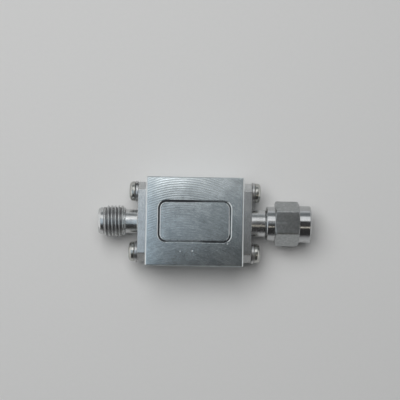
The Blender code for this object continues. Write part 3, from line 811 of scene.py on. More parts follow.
@dataclass(frozen=True)
class FieldLine:
    """Line cut round the field on the housing's top, and the ink left in it."""

    length: float = 14.2
    width: float = 8.0
    corner: float = 1.45
    floor_half: float = 0.15
    wall_half: float = 0.19
    lip_half: float = 0.29
    depth: float = 0.12
    lip_depth: float = 0.07

    def stations(self, top: float) -> np.ndarray:
        """Rectangle rows from the inner lip over the floor to the outer lip."""
        spread = np.array([-self.lip_half, -self.wall_half, -self.floor_half])
        spread = np.concatenate([spread, -spread[::-1]])
        drop = np.array([0.0, self.lip_depth, self.depth])
        drop = np.concatenate([drop, drop[::-1]])
        return np.stack(
            [self.length + 2 * spread, self.width + 2 * spread, self.corner + spread, top - drop], axis=-1
        )

    def distance(self, s: Surface) -> Field:
        """Distance from the line's middle, positive outside it.

        With q = |place| - (half size - corner radius), it is the length of q's positive part, plus the larger
        of q's numbers where both are negative, less the corner radius.
        """
        over_x = abs(s.x) - (self.length / 2 - self.corner)
        over_y = abs(s.y) - (self.width / 2 - self.corner)
        out_x, out_y = over_x.most(0.0), over_y.most(0.0)
        return (out_x * out_x + out_y * out_y).root() + over_x.most(over_y).least(0.0) - self.corner

    def ink_mask(self, s: Surface) -> Field:
        """1 where ink lies: wide at the back and the left, narrower at the right corners, thin elsewhere."""
        right = s.x.ramp(6.2, 6.8)
        away = abs(self.distance(s) + right * 0.09)
        left = s.x.ramp(-5.2, -6.2)
        back = s.y.ramp(3.0, 3.8) * (s.x.ramp(6.6, 5.0) * 0.05 + s.x.ramp(2.5, -2.0) * 0.10)
        front_right = s.y.ramp(-2.2, -3.0) * s.x.ramp(0.5, 2.5)
        back_right = s.y.ramp(-0.8, 1.6) * s.x.ramp(5.0, 6.0)
        half = 0.08 + back.most(left * 0.13).most(front_right * 0.11).most(back_right * 0.05)
        half = half + (s.noise(s.place, 1.4, 3.0, 0.6) - 0.5) * 0.08
        return (half - away).ramp(-0.01, 0.03) * s.z.ramp(*TOP_MARKS)

    def lip_wear_and_highlight_mask(self, s: Surface) -> Field:
        """1 along the lips, partly rubbed wear and partly painted highlight, more on the left, the right and
        the front than at the back.
        """
        from_middle = self.distance(s)
        band = abs(from_middle).ramp(0.13, 0.20) * abs(from_middle).ramp(0.36, 0.27)
        side = abs(s.x).ramp(6.4, 6.9).most(s.y.ramp(-3.4, -3.9) * 0.3)
        outer = from_middle.ramp(-0.1, 0.1) * side
        inner = from_middle.ramp(0.1, -0.1) * s.x.ramp(3.0, 0.0) * 0.7
        patchy = s.noise(s.place, 2.2, 2.0).ramp(0.20, 0.55)
        return band * outer.most(inner) * patchy * s.z.ramp(*TOP_MARKS)


@dataclass(frozen=True)
class Housing:
    """Milled block with its pocket and holes, the cover below and the cover's screws."""

    layout: Layout
    line: FieldLine = FieldLine()
    finish: MilledNickel = MilledNickel()
    chamfer: float = 0.22
    arris: float = 0.05
    corner: float = 0.28
    least_corner: float = 0.06
    end_wall: float = 2.6
    side_wall: float = 4.45
    roof: float = 1.5
    pocket_corner: float = 1.5
    ledge_width: float = 0.7
    ledge_height: float = 6.42
    bore: float = 2.06
    tap_radius: float = 1.08
    tap_depth: float = 4.41
    cover_tap_radius: float = 0.77
    cover_tap_height: float = 3.2
    cover_thickness: float = 1.2
    head_radius: float = 1.3
    head_depth: float = 0.7
    head_gap: float = 0.03
    overrun: float = 0.4
    hole_steps: int = 56

    def outside(self, low: float, high: float, low_chamfer: float, high_chamfer: float) -> np.ndarray:
        """Rectangle rows up the outer side of a block between two heights.

        Args:
            low: Height of its underside.
            high: Height of its top.
            low_chamfer: Chamfer at the underside.
            high_chamfer: Chamfer at the top.

        Returns:
            Rows from the underside to the top.
        """
        side = np.array([
            (low_chamfer + self.chamfer, low), (low_chamfer, low), (0.0, low + low_chamfer),
            (0.0, high - high_chamfer), (high_chamfer, high), (high_chamfer + self.chamfer, high),
        ])
        inset, height = eased(side, self.arris).T
        length = 2 * (self.layout.half_length - inset)
        width = 2 * (self.layout.half_width - inset)
        return np.stack([length, width, np.maximum(self.corner - inset, self.least_corner), height], axis=-1)

    def block(self) -> bpy.types.Mesh:
        """The block from the field over its sides to the pocket, then its holes cut."""
        place = self.layout
        wide = (2 * (place.half_length - self.end_wall), 2 * (place.half_width - self.side_wall))
        narrow = (wide[0] - 2 * self.ledge_width, wide[1] - 2 * self.ledge_width)
        ceiling = place.top - self.roof
        pocket = np.array([
            (*wide, self.pocket_corner, place.bottom), (*wide, self.pocket_corner, self.ledge_height),
            (*narrow, self.pocket_corner, self.ledge_height), (*narrow, self.pocket_corner, ceiling),
        ])
        outside = self.outside(place.bottom, place.top, 0.0, self.chamfer)
        rows = np.concatenate([self.line.stations(place.top), outside[::-1], pocket])
        solid = Shell().add(rectangles(rows)).mesh("block")
        return combined(solid, self.drills(), Cut.REMOVE)

    def drills(self) -> bpy.types.Mesh:
        """Every hole of the block, as one mesh of separate cylinders."""
        shell = Shell()
        angles = full_turn(self.hole_steps)
        for end in End:
            bore = turned(self.cylinder(-self.end_wall - self.overrun, self.overrun, self.bore), angles)
            shell.add(self.layout.at_end(bore, end))
            tap = turned(self.cylinder(-self.tap_depth, self.overrun, self.tap_radius), angles)
            for side in (1, -1):
                shell.add(self.layout.at_end(tap + (0, side * Flange().hole_spacing / 2, 0), end))
        cover_tap = self.cylinder(0.0, self.cover_tap_height, self.cover_tap_radius)
        upright = turned(cover_tap, angles)[..., [1, 2, 0]]
        for x, y in self.cover_screw_places():
            shell.add(upright + (x, y, 0))
        return shell.mesh("block_holes")

    @staticmethod
    def cylinder(low: float, high: float, radius: float) -> np.ndarray:
        """Stations of a plain cylinder."""
        return np.array([(low, 0.0), (low, radius), (high, radius), (high, 0.0)])

    @staticmethod
    def cover_screw_places() -> list:
        """(x, y) of the cover's screws in the frame."""
        boxes = [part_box(f"cover_screw_{number}") for number in range(1, 5)]
        return [((low[0] + high[0]) / 2 / MM, (low[1] + high[1]) / 2 / MM) for low, high in boxes]

    def cover(self) -> bpy.types.Mesh:
        """The plate below with its countersunk holes."""
        rows = self.outside(0.0, self.cover_thickness, self.chamfer, 0.0)
        plate = Shell().add(rectangles(rows)).mesh("cover")
        gap = self.head_gap
        above = self.cover_thickness + self.overrun
        sink = np.array([
            (-self.overrun, 0.0), (-self.overrun, self.head_radius + gap), (gap, self.head_radius + gap),
            (self.head_depth + gap, self.cover_tap_radius), (above, self.cover_tap_radius), (above, 0.0),
        ])
        shell = Shell()
        hole = turned(sink, full_turn(self.hole_steps))[..., [1, 2, 0]]
        for x, y in self.cover_screw_places():
            shell.add(hole + (x, y, 0))
        return combined(plate, shell.mesh("countersinks"), Cut.REMOVE)

    def build(self) -> None:
        """Makes and dresses the block and the cover."""
        metal = self.finish.material(self.line)
        show("housing_block", self.block(), metal, ("housing",))
        show("cover_plate", self.cover(), metal, ("cover",))


@dataclass(frozen=True)
class Flange:
    """Two-hole flange at the foot of a connector, with X out from the end wall."""

    gap: float = 0.03
    thickness: float = 1.65
    width: float = 15.88
    height: float = 5.66
    corner: float = 1.54
    edge: float = 0.10
    corner_ease: float = 0.12
    hole_spacing: float = 12.22
    hole_radius: float = 1.3
    mouth_depth: float = 0.08
    overrun: float = 0.5
    hole_steps: int = 48
    fillet: float = 0.2

    @property
    def face(self) -> float:
        """Distance of its front face from the end wall."""
        return self.gap + self.thickness

    def plate(self) -> np.ndarray:
        """The plate's points: an oblong with cut corners, carried along X over eased edges.

        An outline moved out by a distance d grows by d on each side, and its corner cut by (2 - root 2) d.
        """
        side = np.array([
            (-3 * self.edge, self.gap), (0.0, self.gap), (0.0, self.face), (-3 * self.edge, self.face),
        ])
        loops = []
        for spread, x in eased(side, self.edge, 3):
            half_width = self.width / 2 + spread
            half_height = self.height / 2 + spread
            cut = self.corner + spread * (2 - math.sqrt(2))
            corners = np.array([
                (half_width, half_height - cut), (half_width - cut, half_height),
                (cut - half_width, half_height), (-half_width, half_height - cut),
                (-half_width, cut - half_height), (cut - half_width, -half_height),
                (half_width - cut, -half_height), (half_width, cut - half_height),
            ])
            outline = eased_loop(corners, self.corner_ease)
            loops.append(np.column_stack([np.full(len(outline), x), outline]))
        return np.stack(loops, axis=1)

    def holes(self) -> list:
        """The two screw holes' points, their mouths slightly countersunk."""
        low, high, radius = -self.overrun, self.face + self.overrun, self.hole_radius
        profile = np.array([
            (low, 0.0), (low, radius), (self.face - self.mouth_depth, radius),
            (high, radius + self.mouth_depth + self.overrun), (high, 0.0),
        ])
        hole = turned(profile, full_turn(self.hole_steps))
        return [hole + (0, side * self.hole_spacing / 2, 0) for side in (1, -1)]

    def root(self, radius: float) -> np.ndarray:
        """Stations of a barrel from inside the plate to the end of its round fillet."""
        angle = np.linspace(0, math.pi / 2, 9)
        arc = np.column_stack([
            self.face + self.fillet * (1 - np.cos(angle)), radius + self.fillet * (1 - np.sin(angle))
        ])
        inside = self.gap + self.thickness / 2
        return np.concatenate([[(inside, 0.0), (inside, radius + self.fillet)], arc])


def connector(
    layout: Layout, end: End, flange: Flange, barrel: np.ndarray, hollow: np.ndarray
) -> bpy.types.Mesh:
    """Joins a turned barrel to its flange and bores it.

    Args:
        layout: Where the end walls are.
        end: The end that it sits at.
        flange: Its flange.
        barrel: The barrel's points.
        hollow: The bore's points.

    Returns:
        The connector's body.
    """
    plate = layout.mesh(flange.plate(), end, "plate")
    solid = combined(layout.mesh(barrel, end, "barrel"), plate, Cut.JOIN)
    holes = Shell()
    for hole in (hollow, *flange.holes()):
        holes.add(layout.at_end(hole, end))
    return combined(solid, holes.mesh("holes"), Cut.REMOVE)


@dataclass(frozen=True)
class Insides:
    """Insulator and centre contact of a connector, with X out from the end wall."""

    layout: Layout
    white: bpy.types.Material
    gold: bpy.types.Material
    end_wall: float = 2.6
    radius: float = 2.03
    contact_radius: float = 0.635
    tail_radius: float = 0.46
    tail_reach: float = 1.0
    gap: float = 0.03
    insulator_ease: float = 0.06
    contact_ease: float = 0.04
    steps: int = 64

    def insulator(self, plane: float, end: End) -> bpy.types.Mesh:
        """The white tube between the pocket's wall and the reference plane."""
        bore = self.contact_radius + self.gap
        back, front = self.gap - self.end_wall, plane - self.gap
        middle = (back + front) / 2
        profile = np.array([
            (middle, bore), (front, bore), (front, self.radius),
            (back, self.radius), (back, bore), (middle, bore),
        ])
        grid = turned(eased(profile, self.insulator_ease, 3), full_turn(self.steps))
        return self.layout.mesh(grid, end, "insulator", ring=True)

    def contact(self, front: np.ndarray, end: End) -> bpy.types.Mesh:
        """The centre contact: a thin tail over the board, a thicker body, then its front stations."""
        tail = -self.end_wall - self.tail_reach
        body = -self.end_wall - self.gap
        stations = np.array([
            (tail, 0.0), (tail, self.tail_radius), (body, self.tail_radius), (body, self.contact_radius),
            *front, (front[-1][0], 0.0),
        ])
        grid = turned(eased(stations, self.contact_ease, 3), full_turn(self.steps))
        return self.layout.mesh(grid, end, "contact")


@dataclass(frozen=True)
class Jack:
    """Threaded jack: body, insulator and slotted socket."""

    layout: Layout
    insides: Insides
    flange: Flange = Flange()
    barrel_radius: float = 2.4
    thread_radius: float = 3.175
    thread: Thread = Thread(
        start=4.15, length=4.59, depth=0.433, pitch=THREAD_PITCH, crest=THREAD_CREST, turn=-143.0
    )
    nose_radius: float = 2.72
    nose_length: float = 0.9
    nose_taper: float = 0.25
    nose_taper_length: float = 0.5
    mouth_radius: float = 2.3
    mouth_depth: float = 1.95
    mouth_flare: float = 0.06
    socket_radius: float = 0.47
    socket_depth: float = 2.5
    socket_overrun: float = 0.3
    slot_width: float = 0.2
    slot_length: float = 2.0
    # how far the painted shade in the thread's roots keeps below the crests and short of the thread's end
    # nearest the wall
    unshaded_crest: float = 0.05
    unshaded_end: float = 0.5
    ease: float = 0.05
    thread_samples: int = 176
    steps: int = 192
    bore_steps: int = 96
    socket_steps: int = 48

    @property
    def thread_end(self) -> float:
        """Distance of the thread's front end from the end wall."""
        return self.thread.start + self.thread.length

    @property
    def tip(self) -> float:
        """Distance of the tip from the end wall."""
        return self.thread_end + self.nose_length

    @property
    def plane(self) -> float:
        """Distance of the reference plane from the end wall."""
        return self.tip - self.mouth_depth

    def barrel(self) -> np.ndarray:
        """The turned outside, with the thread's ridge as extra height over its core."""
        core = self.thread_radius - self.thread.depth
        start, end = self.thread.start, self.thread_end
        step = core - self.barrel_radius
        foot = self.flange.root(self.barrel_radius)
        shoulder = eased(
            [foot[-1], (start, self.barrel_radius), (start + step / 2, core), (start + step, core)], self.ease
        )[1:]
        threaded = np.column_stack([
            np.linspace(start + step, end, self.thread_samples), np.full(self.thread_samples, core)
        ])
        nose = eased([
            (end, core), (end, self.nose_radius), (self.tip - self.nose_taper_length, self.nose_radius),
            (self.tip, self.nose_radius - self.nose_taper), (self.tip, self.mouth_radius - self.ease),
        ], [0.0, self.ease, self.ease])
        stations = np.concatenate([foot, shoulder, threaded, nose, [(self.tip, 0.0)]])
        angles = full_turn(self.steps)
        grid = np.repeat(stations[None], self.steps, axis=0)
        span = slice(len(foot) + len(shoulder), len(foot) + len(shoulder) + self.thread_samples)
        grid[:, span, 1] += self.thread.height(threaded[:, 0], angles)
        return turned(grid, angles)

    def hollow(self) -> np.ndarray:
        """The bore for the insulator and the wider mouth in front of it."""
        bore = self.insides.radius + self.insides.gap
        back, flare = -self.flange.overrun, self.mouth_flare
        profile = [
            (back, 0.0), (back, bore), (self.plane, bore), (self.plane, self.mouth_radius),
            (self.tip - flare, self.mouth_radius), (self.tip + flare, self.mouth_radius + 2 * flare),
            (self.tip + flare, 0.0),
        ]
        return turned(np.array(profile), full_turn(self.bore_steps))

    def socket(self) -> bpy.types.Mesh:
        """The centre contact with its bore and its two crossing slots."""
        solid = self.insides.contact(np.array([(self.plane, self.insides.contact_radius)]), End.JACK)
        floor, mouth = self.plane - self.socket_depth, self.plane + self.socket_overrun
        bore = turned(Housing.cylinder(floor, mouth, self.socket_radius), full_turn(self.socket_steps))
        drilled = combined(solid, self.layout.mesh(bore, End.JACK, "bore"), Cut.REMOVE)
        reach, half = self.insides.contact_radius + self.socket_overrun, self.slot_width / 2
        section = np.array([(-half, -reach), (half, -reach), (half, reach), (-half, reach)])
        along = np.array([(self.plane - self.slot_length, 0.0, 0.0), (mouth, 0.0, 0.0)])
        for turn in (math.pi / 4, 3 * math.pi / 4):
            across = np.array([0.0, math.cos(turn), math.sin(turn)])
            beside = np.array([0.0, -math.sin(turn), math.cos(turn)])
            blade = swept(along, across, beside, section)
            drilled = combined(drilled, self.layout.mesh(blade, End.JACK, "slot"), Cut.REMOVE)
        return drilled

    def build(self) -> None:
        """Makes and dresses the jack."""
        body = connector(self.layout, End.JACK, self.flange, self.barrel(), self.hollow())
        first = -self.layout.half_length - self.thread_end
        # painted shade that darkens the thread's roots
        root_shade = RootShade(
            root_radius=self.thread_radius - self.thread.depth,
            crest_radius=self.thread_radius - self.unshaded_crest,
            first=first,
            last=first + self.thread.length - self.unshaded_end,
        )
        steel = TurnedSteel("jack_steel", self.layout.axis).material(root_shade)
        show("jack_shell", body, steel, ("jack_body",))
        white = self.insides.insulator(self.plane, End.JACK)
        show("jack_insulator", white, self.insides.white, ("jack_dielectric",))
        show("jack_socket", self.socket(), self.insides.gold, ("jack_contact",))


@dataclass(frozen=True)
class Plug:
    """Plug without its nut: body, insulator and pin."""

    layout: Layout
    insides: Insides
    flange: Flange = Flange(fillet=0.06)
    barrel_radius: float = 2.75
    barrel_length: float = 2.88
    chamfer: float = 0.12
    neck_radius: float = 2.5
    neck_length: float = 2.42
    groove_place: float = 0.9
    groove_width: float = 0.6
    groove_depth: float = 0.35
    tube_radius: float = 2.275
    tube_length: float = 4.1
    pin_radius: float = 0.457
    pin_length: float = 2.0
    pin_taper: float = 0.3
    pin_tip_radius: float = 0.23
    ease: float = 0.04
    steps: int = 144
    bore_steps: int = 96

    @property
    def neck_start(self) -> float:
        """Distance of the barrel's front end from the end wall."""
        return self.flange.face + self.barrel_length

    @property
    def groove_start(self) -> float:
        """Distance of the ring's groove from the end wall."""
        return self.neck_start + self.groove_place

    @property
    def shoulder(self) -> float:
        """Distance of the gasket's shoulder from the end wall."""
        return self.neck_start + self.neck_length

    @property
    def plane(self) -> float:
        """Distance of the reference plane from the end wall."""
        return self.shoulder + self.tube_length

    def barrel(self) -> np.ndarray:
        """The turned outside: barrel, neck with its groove, shoulder and tube."""
        groove_end = self.groove_start + self.groove_width
        groove = self.neck_radius - self.groove_depth
        foot = self.flange.root(self.barrel_radius)
        profile = [
            foot[-1], (self.neck_start - self.chamfer, self.barrel_radius),
            (self.neck_start, self.barrel_radius - self.chamfer), (self.neck_start, self.neck_radius),
            (self.groove_start, self.neck_radius), (self.groove_start, groove), (groove_end, groove),
            (groove_end, self.neck_radius), (self.shoulder, self.neck_radius),
            (self.shoulder, self.tube_radius), (self.plane - self.chamfer, self.tube_radius),
            (self.plane, self.tube_radius - self.chamfer), (self.plane, 0.0),
        ]
        stations = np.concatenate([foot[:-1], eased(profile, self.ease)])
        return turned(stations, full_turn(self.steps))

    def hollow(self) -> np.ndarray:
        """The bore for the insulator."""
        bore = self.insides.radius + self.insides.gap
        overrun = self.flange.overrun
        return turned(Housing.cylinder(-overrun, self.plane + overrun, bore), full_turn(self.bore_steps))

    def pin(self) -> bpy.types.Mesh:
        """The centre contact with its pin, tapered at the tip."""
        tip = self.plane + self.pin_length
        front = np.array([
            (self.plane, self.insides.contact_radius), (self.plane, self.pin_radius),
            (tip - self.pin_taper, self.pin_radius), (tip, self.pin_tip_radius),
        ])
        return self.insides.contact(front, End.PLUG)

    def build(self) -> None:
        """Makes and dresses the plug."""
        body = connector(self.layout, End.PLUG, self.flange, self.barrel(), self.hollow())
        steel = TurnedSteel("plug_steel", self.layout.axis).material()
        show("plug_shell", body, steel, ("plug_body",))
        white = self.insides.insulator(self.plane, End.PLUG)
        show("plug_insulator", white, self.insides.white, ("plug_dielectric",))
        show("plug_centre_pin", self.pin(), self.insides.gold, ("plug_pin",))


@dataclass(frozen=True)
class CouplingNut:
    """Coupling nut with its collar, hexagon, front ring and inner thread, and the rings that it holds."""

    layout: Layout
    plug: Plug
    collar_radius: float = 3.45
    collar_length: float = 1.74
    flat: float = 3.97
    hex_length: float = 4.89
    chamfer_angle: float = 22.0
    ring_radius: float = 3.7
    ring_length: float = 2.34
    rear_middle: float = 2.95
    front_middle: float = 3.3
    chamfer: float = 0.2
    bore_radius: float = 2.79
    relief_radius: float = 3.2
    relief_length: float = 0.7
    rear_wall: float = 2.02
    mouth_chamfer: float = 0.3
    turn: float = -2.0
    running_gap: float = 0.1
    snap_radius: float = 2.85
    snap_thickness: float = 0.5
    snap_opening: float = 1.2
    snap_turn: float = 120.0
    groove_gap: float = 0.05
    gasket_radius: float = 2.72
    gasket_thickness: float = 0.7
    gasket_gap: float = 0.03
    gasket_ease: tuple = (0.12, 0.12, 0.06, 0.06)
    corner_power: float = 70.0
    ease: float = 0.10
    end_ease: float = 0.12
    step_ease: float = 0.07
    foot_ease: float = 0.02
    half_sector_steps: int = 14
    thread_depth: float = 0.38
    thread_margins: tuple = (0.05, 0.02)
    thread_samples: int = 150
    ring_steps: int = 96

    @property
    def start(self) -> float:
        """Distance of the nut's rear face from the end wall."""
        return self.plug.neck_start + self.running_gap

    @property
    def hex_end(self) -> float:
        """Distance of the hexagon's front end from the nut's rear face."""
        return self.collar_length + self.hex_length

    @property
    def length(self) -> float:
        """The nut's length."""
        return self.hex_end + self.ring_length

    @property
    def snap_start(self) -> float:
        """Distance of the snap ring's rear face from the end wall."""
        return self.plug.groove_start + (self.plug.groove_width - self.snap_thickness) / 2

    def angles(self) -> np.ndarray:
        """Angles round the nut: 30 sin(pi s / 2) degrees either way of a flat, closer together at corners."""
        share = np.arange(-self.half_sector_steps, self.half_sector_steps) / self.half_sector_steps
        sector = math.pi / 6 * np.sin(share * math.pi / 2)
        return (sector + np.arange(6)[:, None] * math.pi / 3).ravel() + math.radians(self.turn)

    def hexagon(self, angles: np.ndarray) -> np.ndarray:
        """Radius of the hexagon: the flats' distance over a high power mean of the cosines to the flats."""
        flats = np.arange(6) * math.pi / 3 + math.radians(self.turn)
        cosines = np.maximum(np.cos(angles[:, None] - flats), 0.0)
        return self.flat / (cosines**self.corner_power).sum(axis=1) ** (1 / self.corner_power)

    def outside(self, angles: np.ndarray) -> np.ndarray:
        """Stations from the rear face over the hexagon to the front face, at each angle.

        Each end of the hexagon is cut by a cone that rises from the flats' distance at the chamfer's angle,
        so the cut ends where the cone reaches the hexagon's own radius.
        """
        length, hex_end = self.length, self.hex_end
        radius = self.hexagon(angles)
        cut = (radius - self.flat) * math.tan(math.radians(self.chamfer_angle))
        one = np.ones_like(angles)
        corners = [
            (0.0, self.rear_middle), (0.0, self.collar_radius - self.chamfer),
            (self.chamfer, self.collar_radius),
            (self.collar_length, self.collar_radius), (self.collar_length, self.flat),
            (self.collar_length + cut, radius), (hex_end - cut, radius), (hex_end, self.flat),
            (hex_end, self.ring_radius), (length - self.chamfer, self.ring_radius),
            (length, self.ring_radius - self.chamfer), (length, self.front_middle),
        ]
        stations = np.stack([np.stack([x * one, r * one], axis=-1) for x, r in corners], axis=1)
        ends, steps = self.end_ease, self.step_ease
        reach = [ends, ends, steps, self.foot_ease, self.ease, self.ease, steps, self.foot_ease, ends, ends]
        return eased(stations, reach)

    def inside(self, angles: np.ndarray) -> np.ndarray:
        """Stations from the front face through the bore back to the rear face, at each angle."""
        length = self.length
        rear = self.plug.neck_radius + self.running_gap
        ring = self.snap_start - self.start
        groove_start = ring - self.running_gap
        groove_end = ring + self.snap_thickness + self.running_gap
        groove = self.snap_radius + self.running_gap
        relief_end = self.rear_wall + self.relief_length
        mouth = self.bore_radius + self.mouth_chamfer
        front = np.array([(length, mouth), (length - self.mouth_chamfer, self.bore_radius)])
        front_margin, back_margin = self.thread_margins
        first, last = length - self.mouth_chamfer - front_margin, relief_end + back_margin
        x = np.linspace(first, last, self.thread_samples)
        back = np.array([
            (relief_end, self.bore_radius), (relief_end, self.relief_radius),
            (self.rear_wall, self.relief_radius), (self.rear_wall, rear), (groove_end, rear),
            (groove_end, groove), (groove_start, groove), (groove_start, rear), (0.0, rear),
        ])
        thread = Thread(relief_end, length - relief_end, self.thread_depth, THREAD_PITCH, THREAD_CREST)
        threaded = np.stack(
            [np.broadcast_to(x, (len(angles), len(x))), self.bore_radius + thread.height(x, angles)], axis=-1
        )
        ends = [np.broadcast_to(part, (len(angles), *part.shape)) for part in (front, back)]
        return np.concatenate([ends[0], threaded, ends[1]], axis=1)

    def nut(self) -> bpy.types.Mesh:
        """The nut as one surface that closes both ways."""
        angles = self.angles()
        stations = np.concatenate([self.outside(angles), self.inside(angles)], axis=1)
        stations[..., 0] += self.start
        return self.layout.mesh(turned(stations, angles), End.PLUG, "nut", ring=True)

    def snap_ring(self) -> bpy.types.Mesh:
        """The open ring in the facing grooves of neck and nut."""
        inner = self.plug.neck_radius - self.plug.groove_depth + self.groove_gap
        grid = open_ring(
            inner, self.snap_radius, self.snap_thickness, self.snap_opening,
            lift=0.0, turn=self.snap_turn, steps=self.ring_steps,
        )
        return self.layout.mesh(grid + (self.snap_start, 0, 0), End.PLUG, "snap_ring")

    def gasket(self) -> bpy.types.Mesh:
        """The soft ring against the plug's shoulder."""
        back = self.plug.shoulder + self.gasket_gap
        front = back + self.gasket_thickness
        inner = self.plug.tube_radius + self.gasket_gap
        middle = (inner + self.gasket_radius) / 2
        profile = np.array([
            (back, middle), (back, self.gasket_radius), (front, self.gasket_radius),
            (front, inner), (back, inner), (back, middle),
        ])
        grid = turned(eased(profile, self.gasket_ease), full_turn(self.ring_steps))
        return self.layout.mesh(grid, End.PLUG, "gasket", ring=True)

    def build(self, spring: bpy.types.Material) -> None:
        """Makes and dresses the nut and what it holds.

        Args:
            spring: The snap ring's finish.
        """
        steel = TurnedSteel(
            "nut_steel", self.layout.axis, pale=(0.58, 0.59, 0.60), dull=(0.48, 0.49, 0.49), roughness=0.15,
            ring_height=0.0018, flats_radius=3.95,
        ).material()
        rubber = SoftSolid("gasket_rubber", (0.50, 0.13, 0.09), (0.38, 0.08, 0.05), 0.6).material()
        show("nut_shell", self.nut(), steel, ("coupling_nut",), Body.NUT)
        show("retaining_ring", self.snap_ring(), spring, ("snap_ring",))
        show("gasket_ring", self.gasket(), rubber, ("gasket",))


def open_ring(
    inner: float, outer: float, thickness: float, opening: float, lift: float, turn: float, steps: int,
    ease: float = 0.07,
) -> np.ndarray:
    """A square section with eased corners carried round X from one side of an opening to the other.

    Args:
        inner: Its inner radius.
        outer: Its outer radius.
        thickness: Its size along X.
        opening: Width of the opening.
        lift: How far its end lies beyond its start along X.
        turn: Where the opening is, in degrees about X from the top.
        steps: Parts that the turn is split into.
        ease: Reach of the section's eased corners.

    Returns:
        A grid of points of shape (k, steps + 1, 3), its rear face at x = 0 where it starts.
    """
    half_gap = math.asin(opening / (inner + outer))
    share = np.linspace(0.0, 1.0, steps + 1)
    angle = math.radians(turn) - half_gap - (math.tau - 2 * half_gap) * share
    outward = np.column_stack([np.zeros_like(angle), np.sin(-angle), np.cos(angle)])
    along = np.broadcast_to([1.0, 0.0, 0.0], outward.shape)
    centres = outward * (inner + outer) / 2 + along * (lift * share + thickness / 2)[:, None]
    half_x, half_r = thickness / 2, (outer - inner) / 2
    corners = [(-half_x, -half_r), (half_x, -half_r), (half_x, half_r), (-half_x, half_r)]
    return swept(centres, along, outward, eased_loop(corners, ease))


@dataclass(frozen=True)
class Recess:
    """Cross recess of a screw about X, with its mouth at x = 0."""

    reach_share: float = 0.52
    arm_share: float = 0.22
    taper: float = 0.45
    ease_share: float = 0.4
    overrun: float = 0.4

    def points(self, head_radius: float, depth: float) -> np.ndarray:
        """A cross outline that shrinks in a straight taper from above the mouth to the floor.

        Args:
            head_radius: The head's radius, of which the cross is a share.
            depth: Its depth.

        Returns:
            A grid of points of shape (k, 2, 3).
        """
        reach = self.reach_share * head_radius
        arm = self.arm_share * head_radius / 2
        quarter = np.array([(reach, -arm), (reach, arm), (arm, arm)])
        turns = np.arange(4) * math.pi / 2
        cosine, sine = np.cos(turns)[:, None], np.sin(turns)[:, None]
        out, side = quarter.T
        corners = np.stack([out * cosine - side * sine, out * sine + side * cosine], axis=-1).reshape(-1, 2)
        outline = eased_loop(corners, self.ease_share * arm, 2)
        mouth = 1 + (1 - self.taper) * self.overrun / depth
        loops = [np.column_stack([np.full(len(outline), x), outline * size]) for x, size in (
            (self.overrun, mouth), (-depth, self.taper)
        )]
        return np.stack(loops, axis=1)


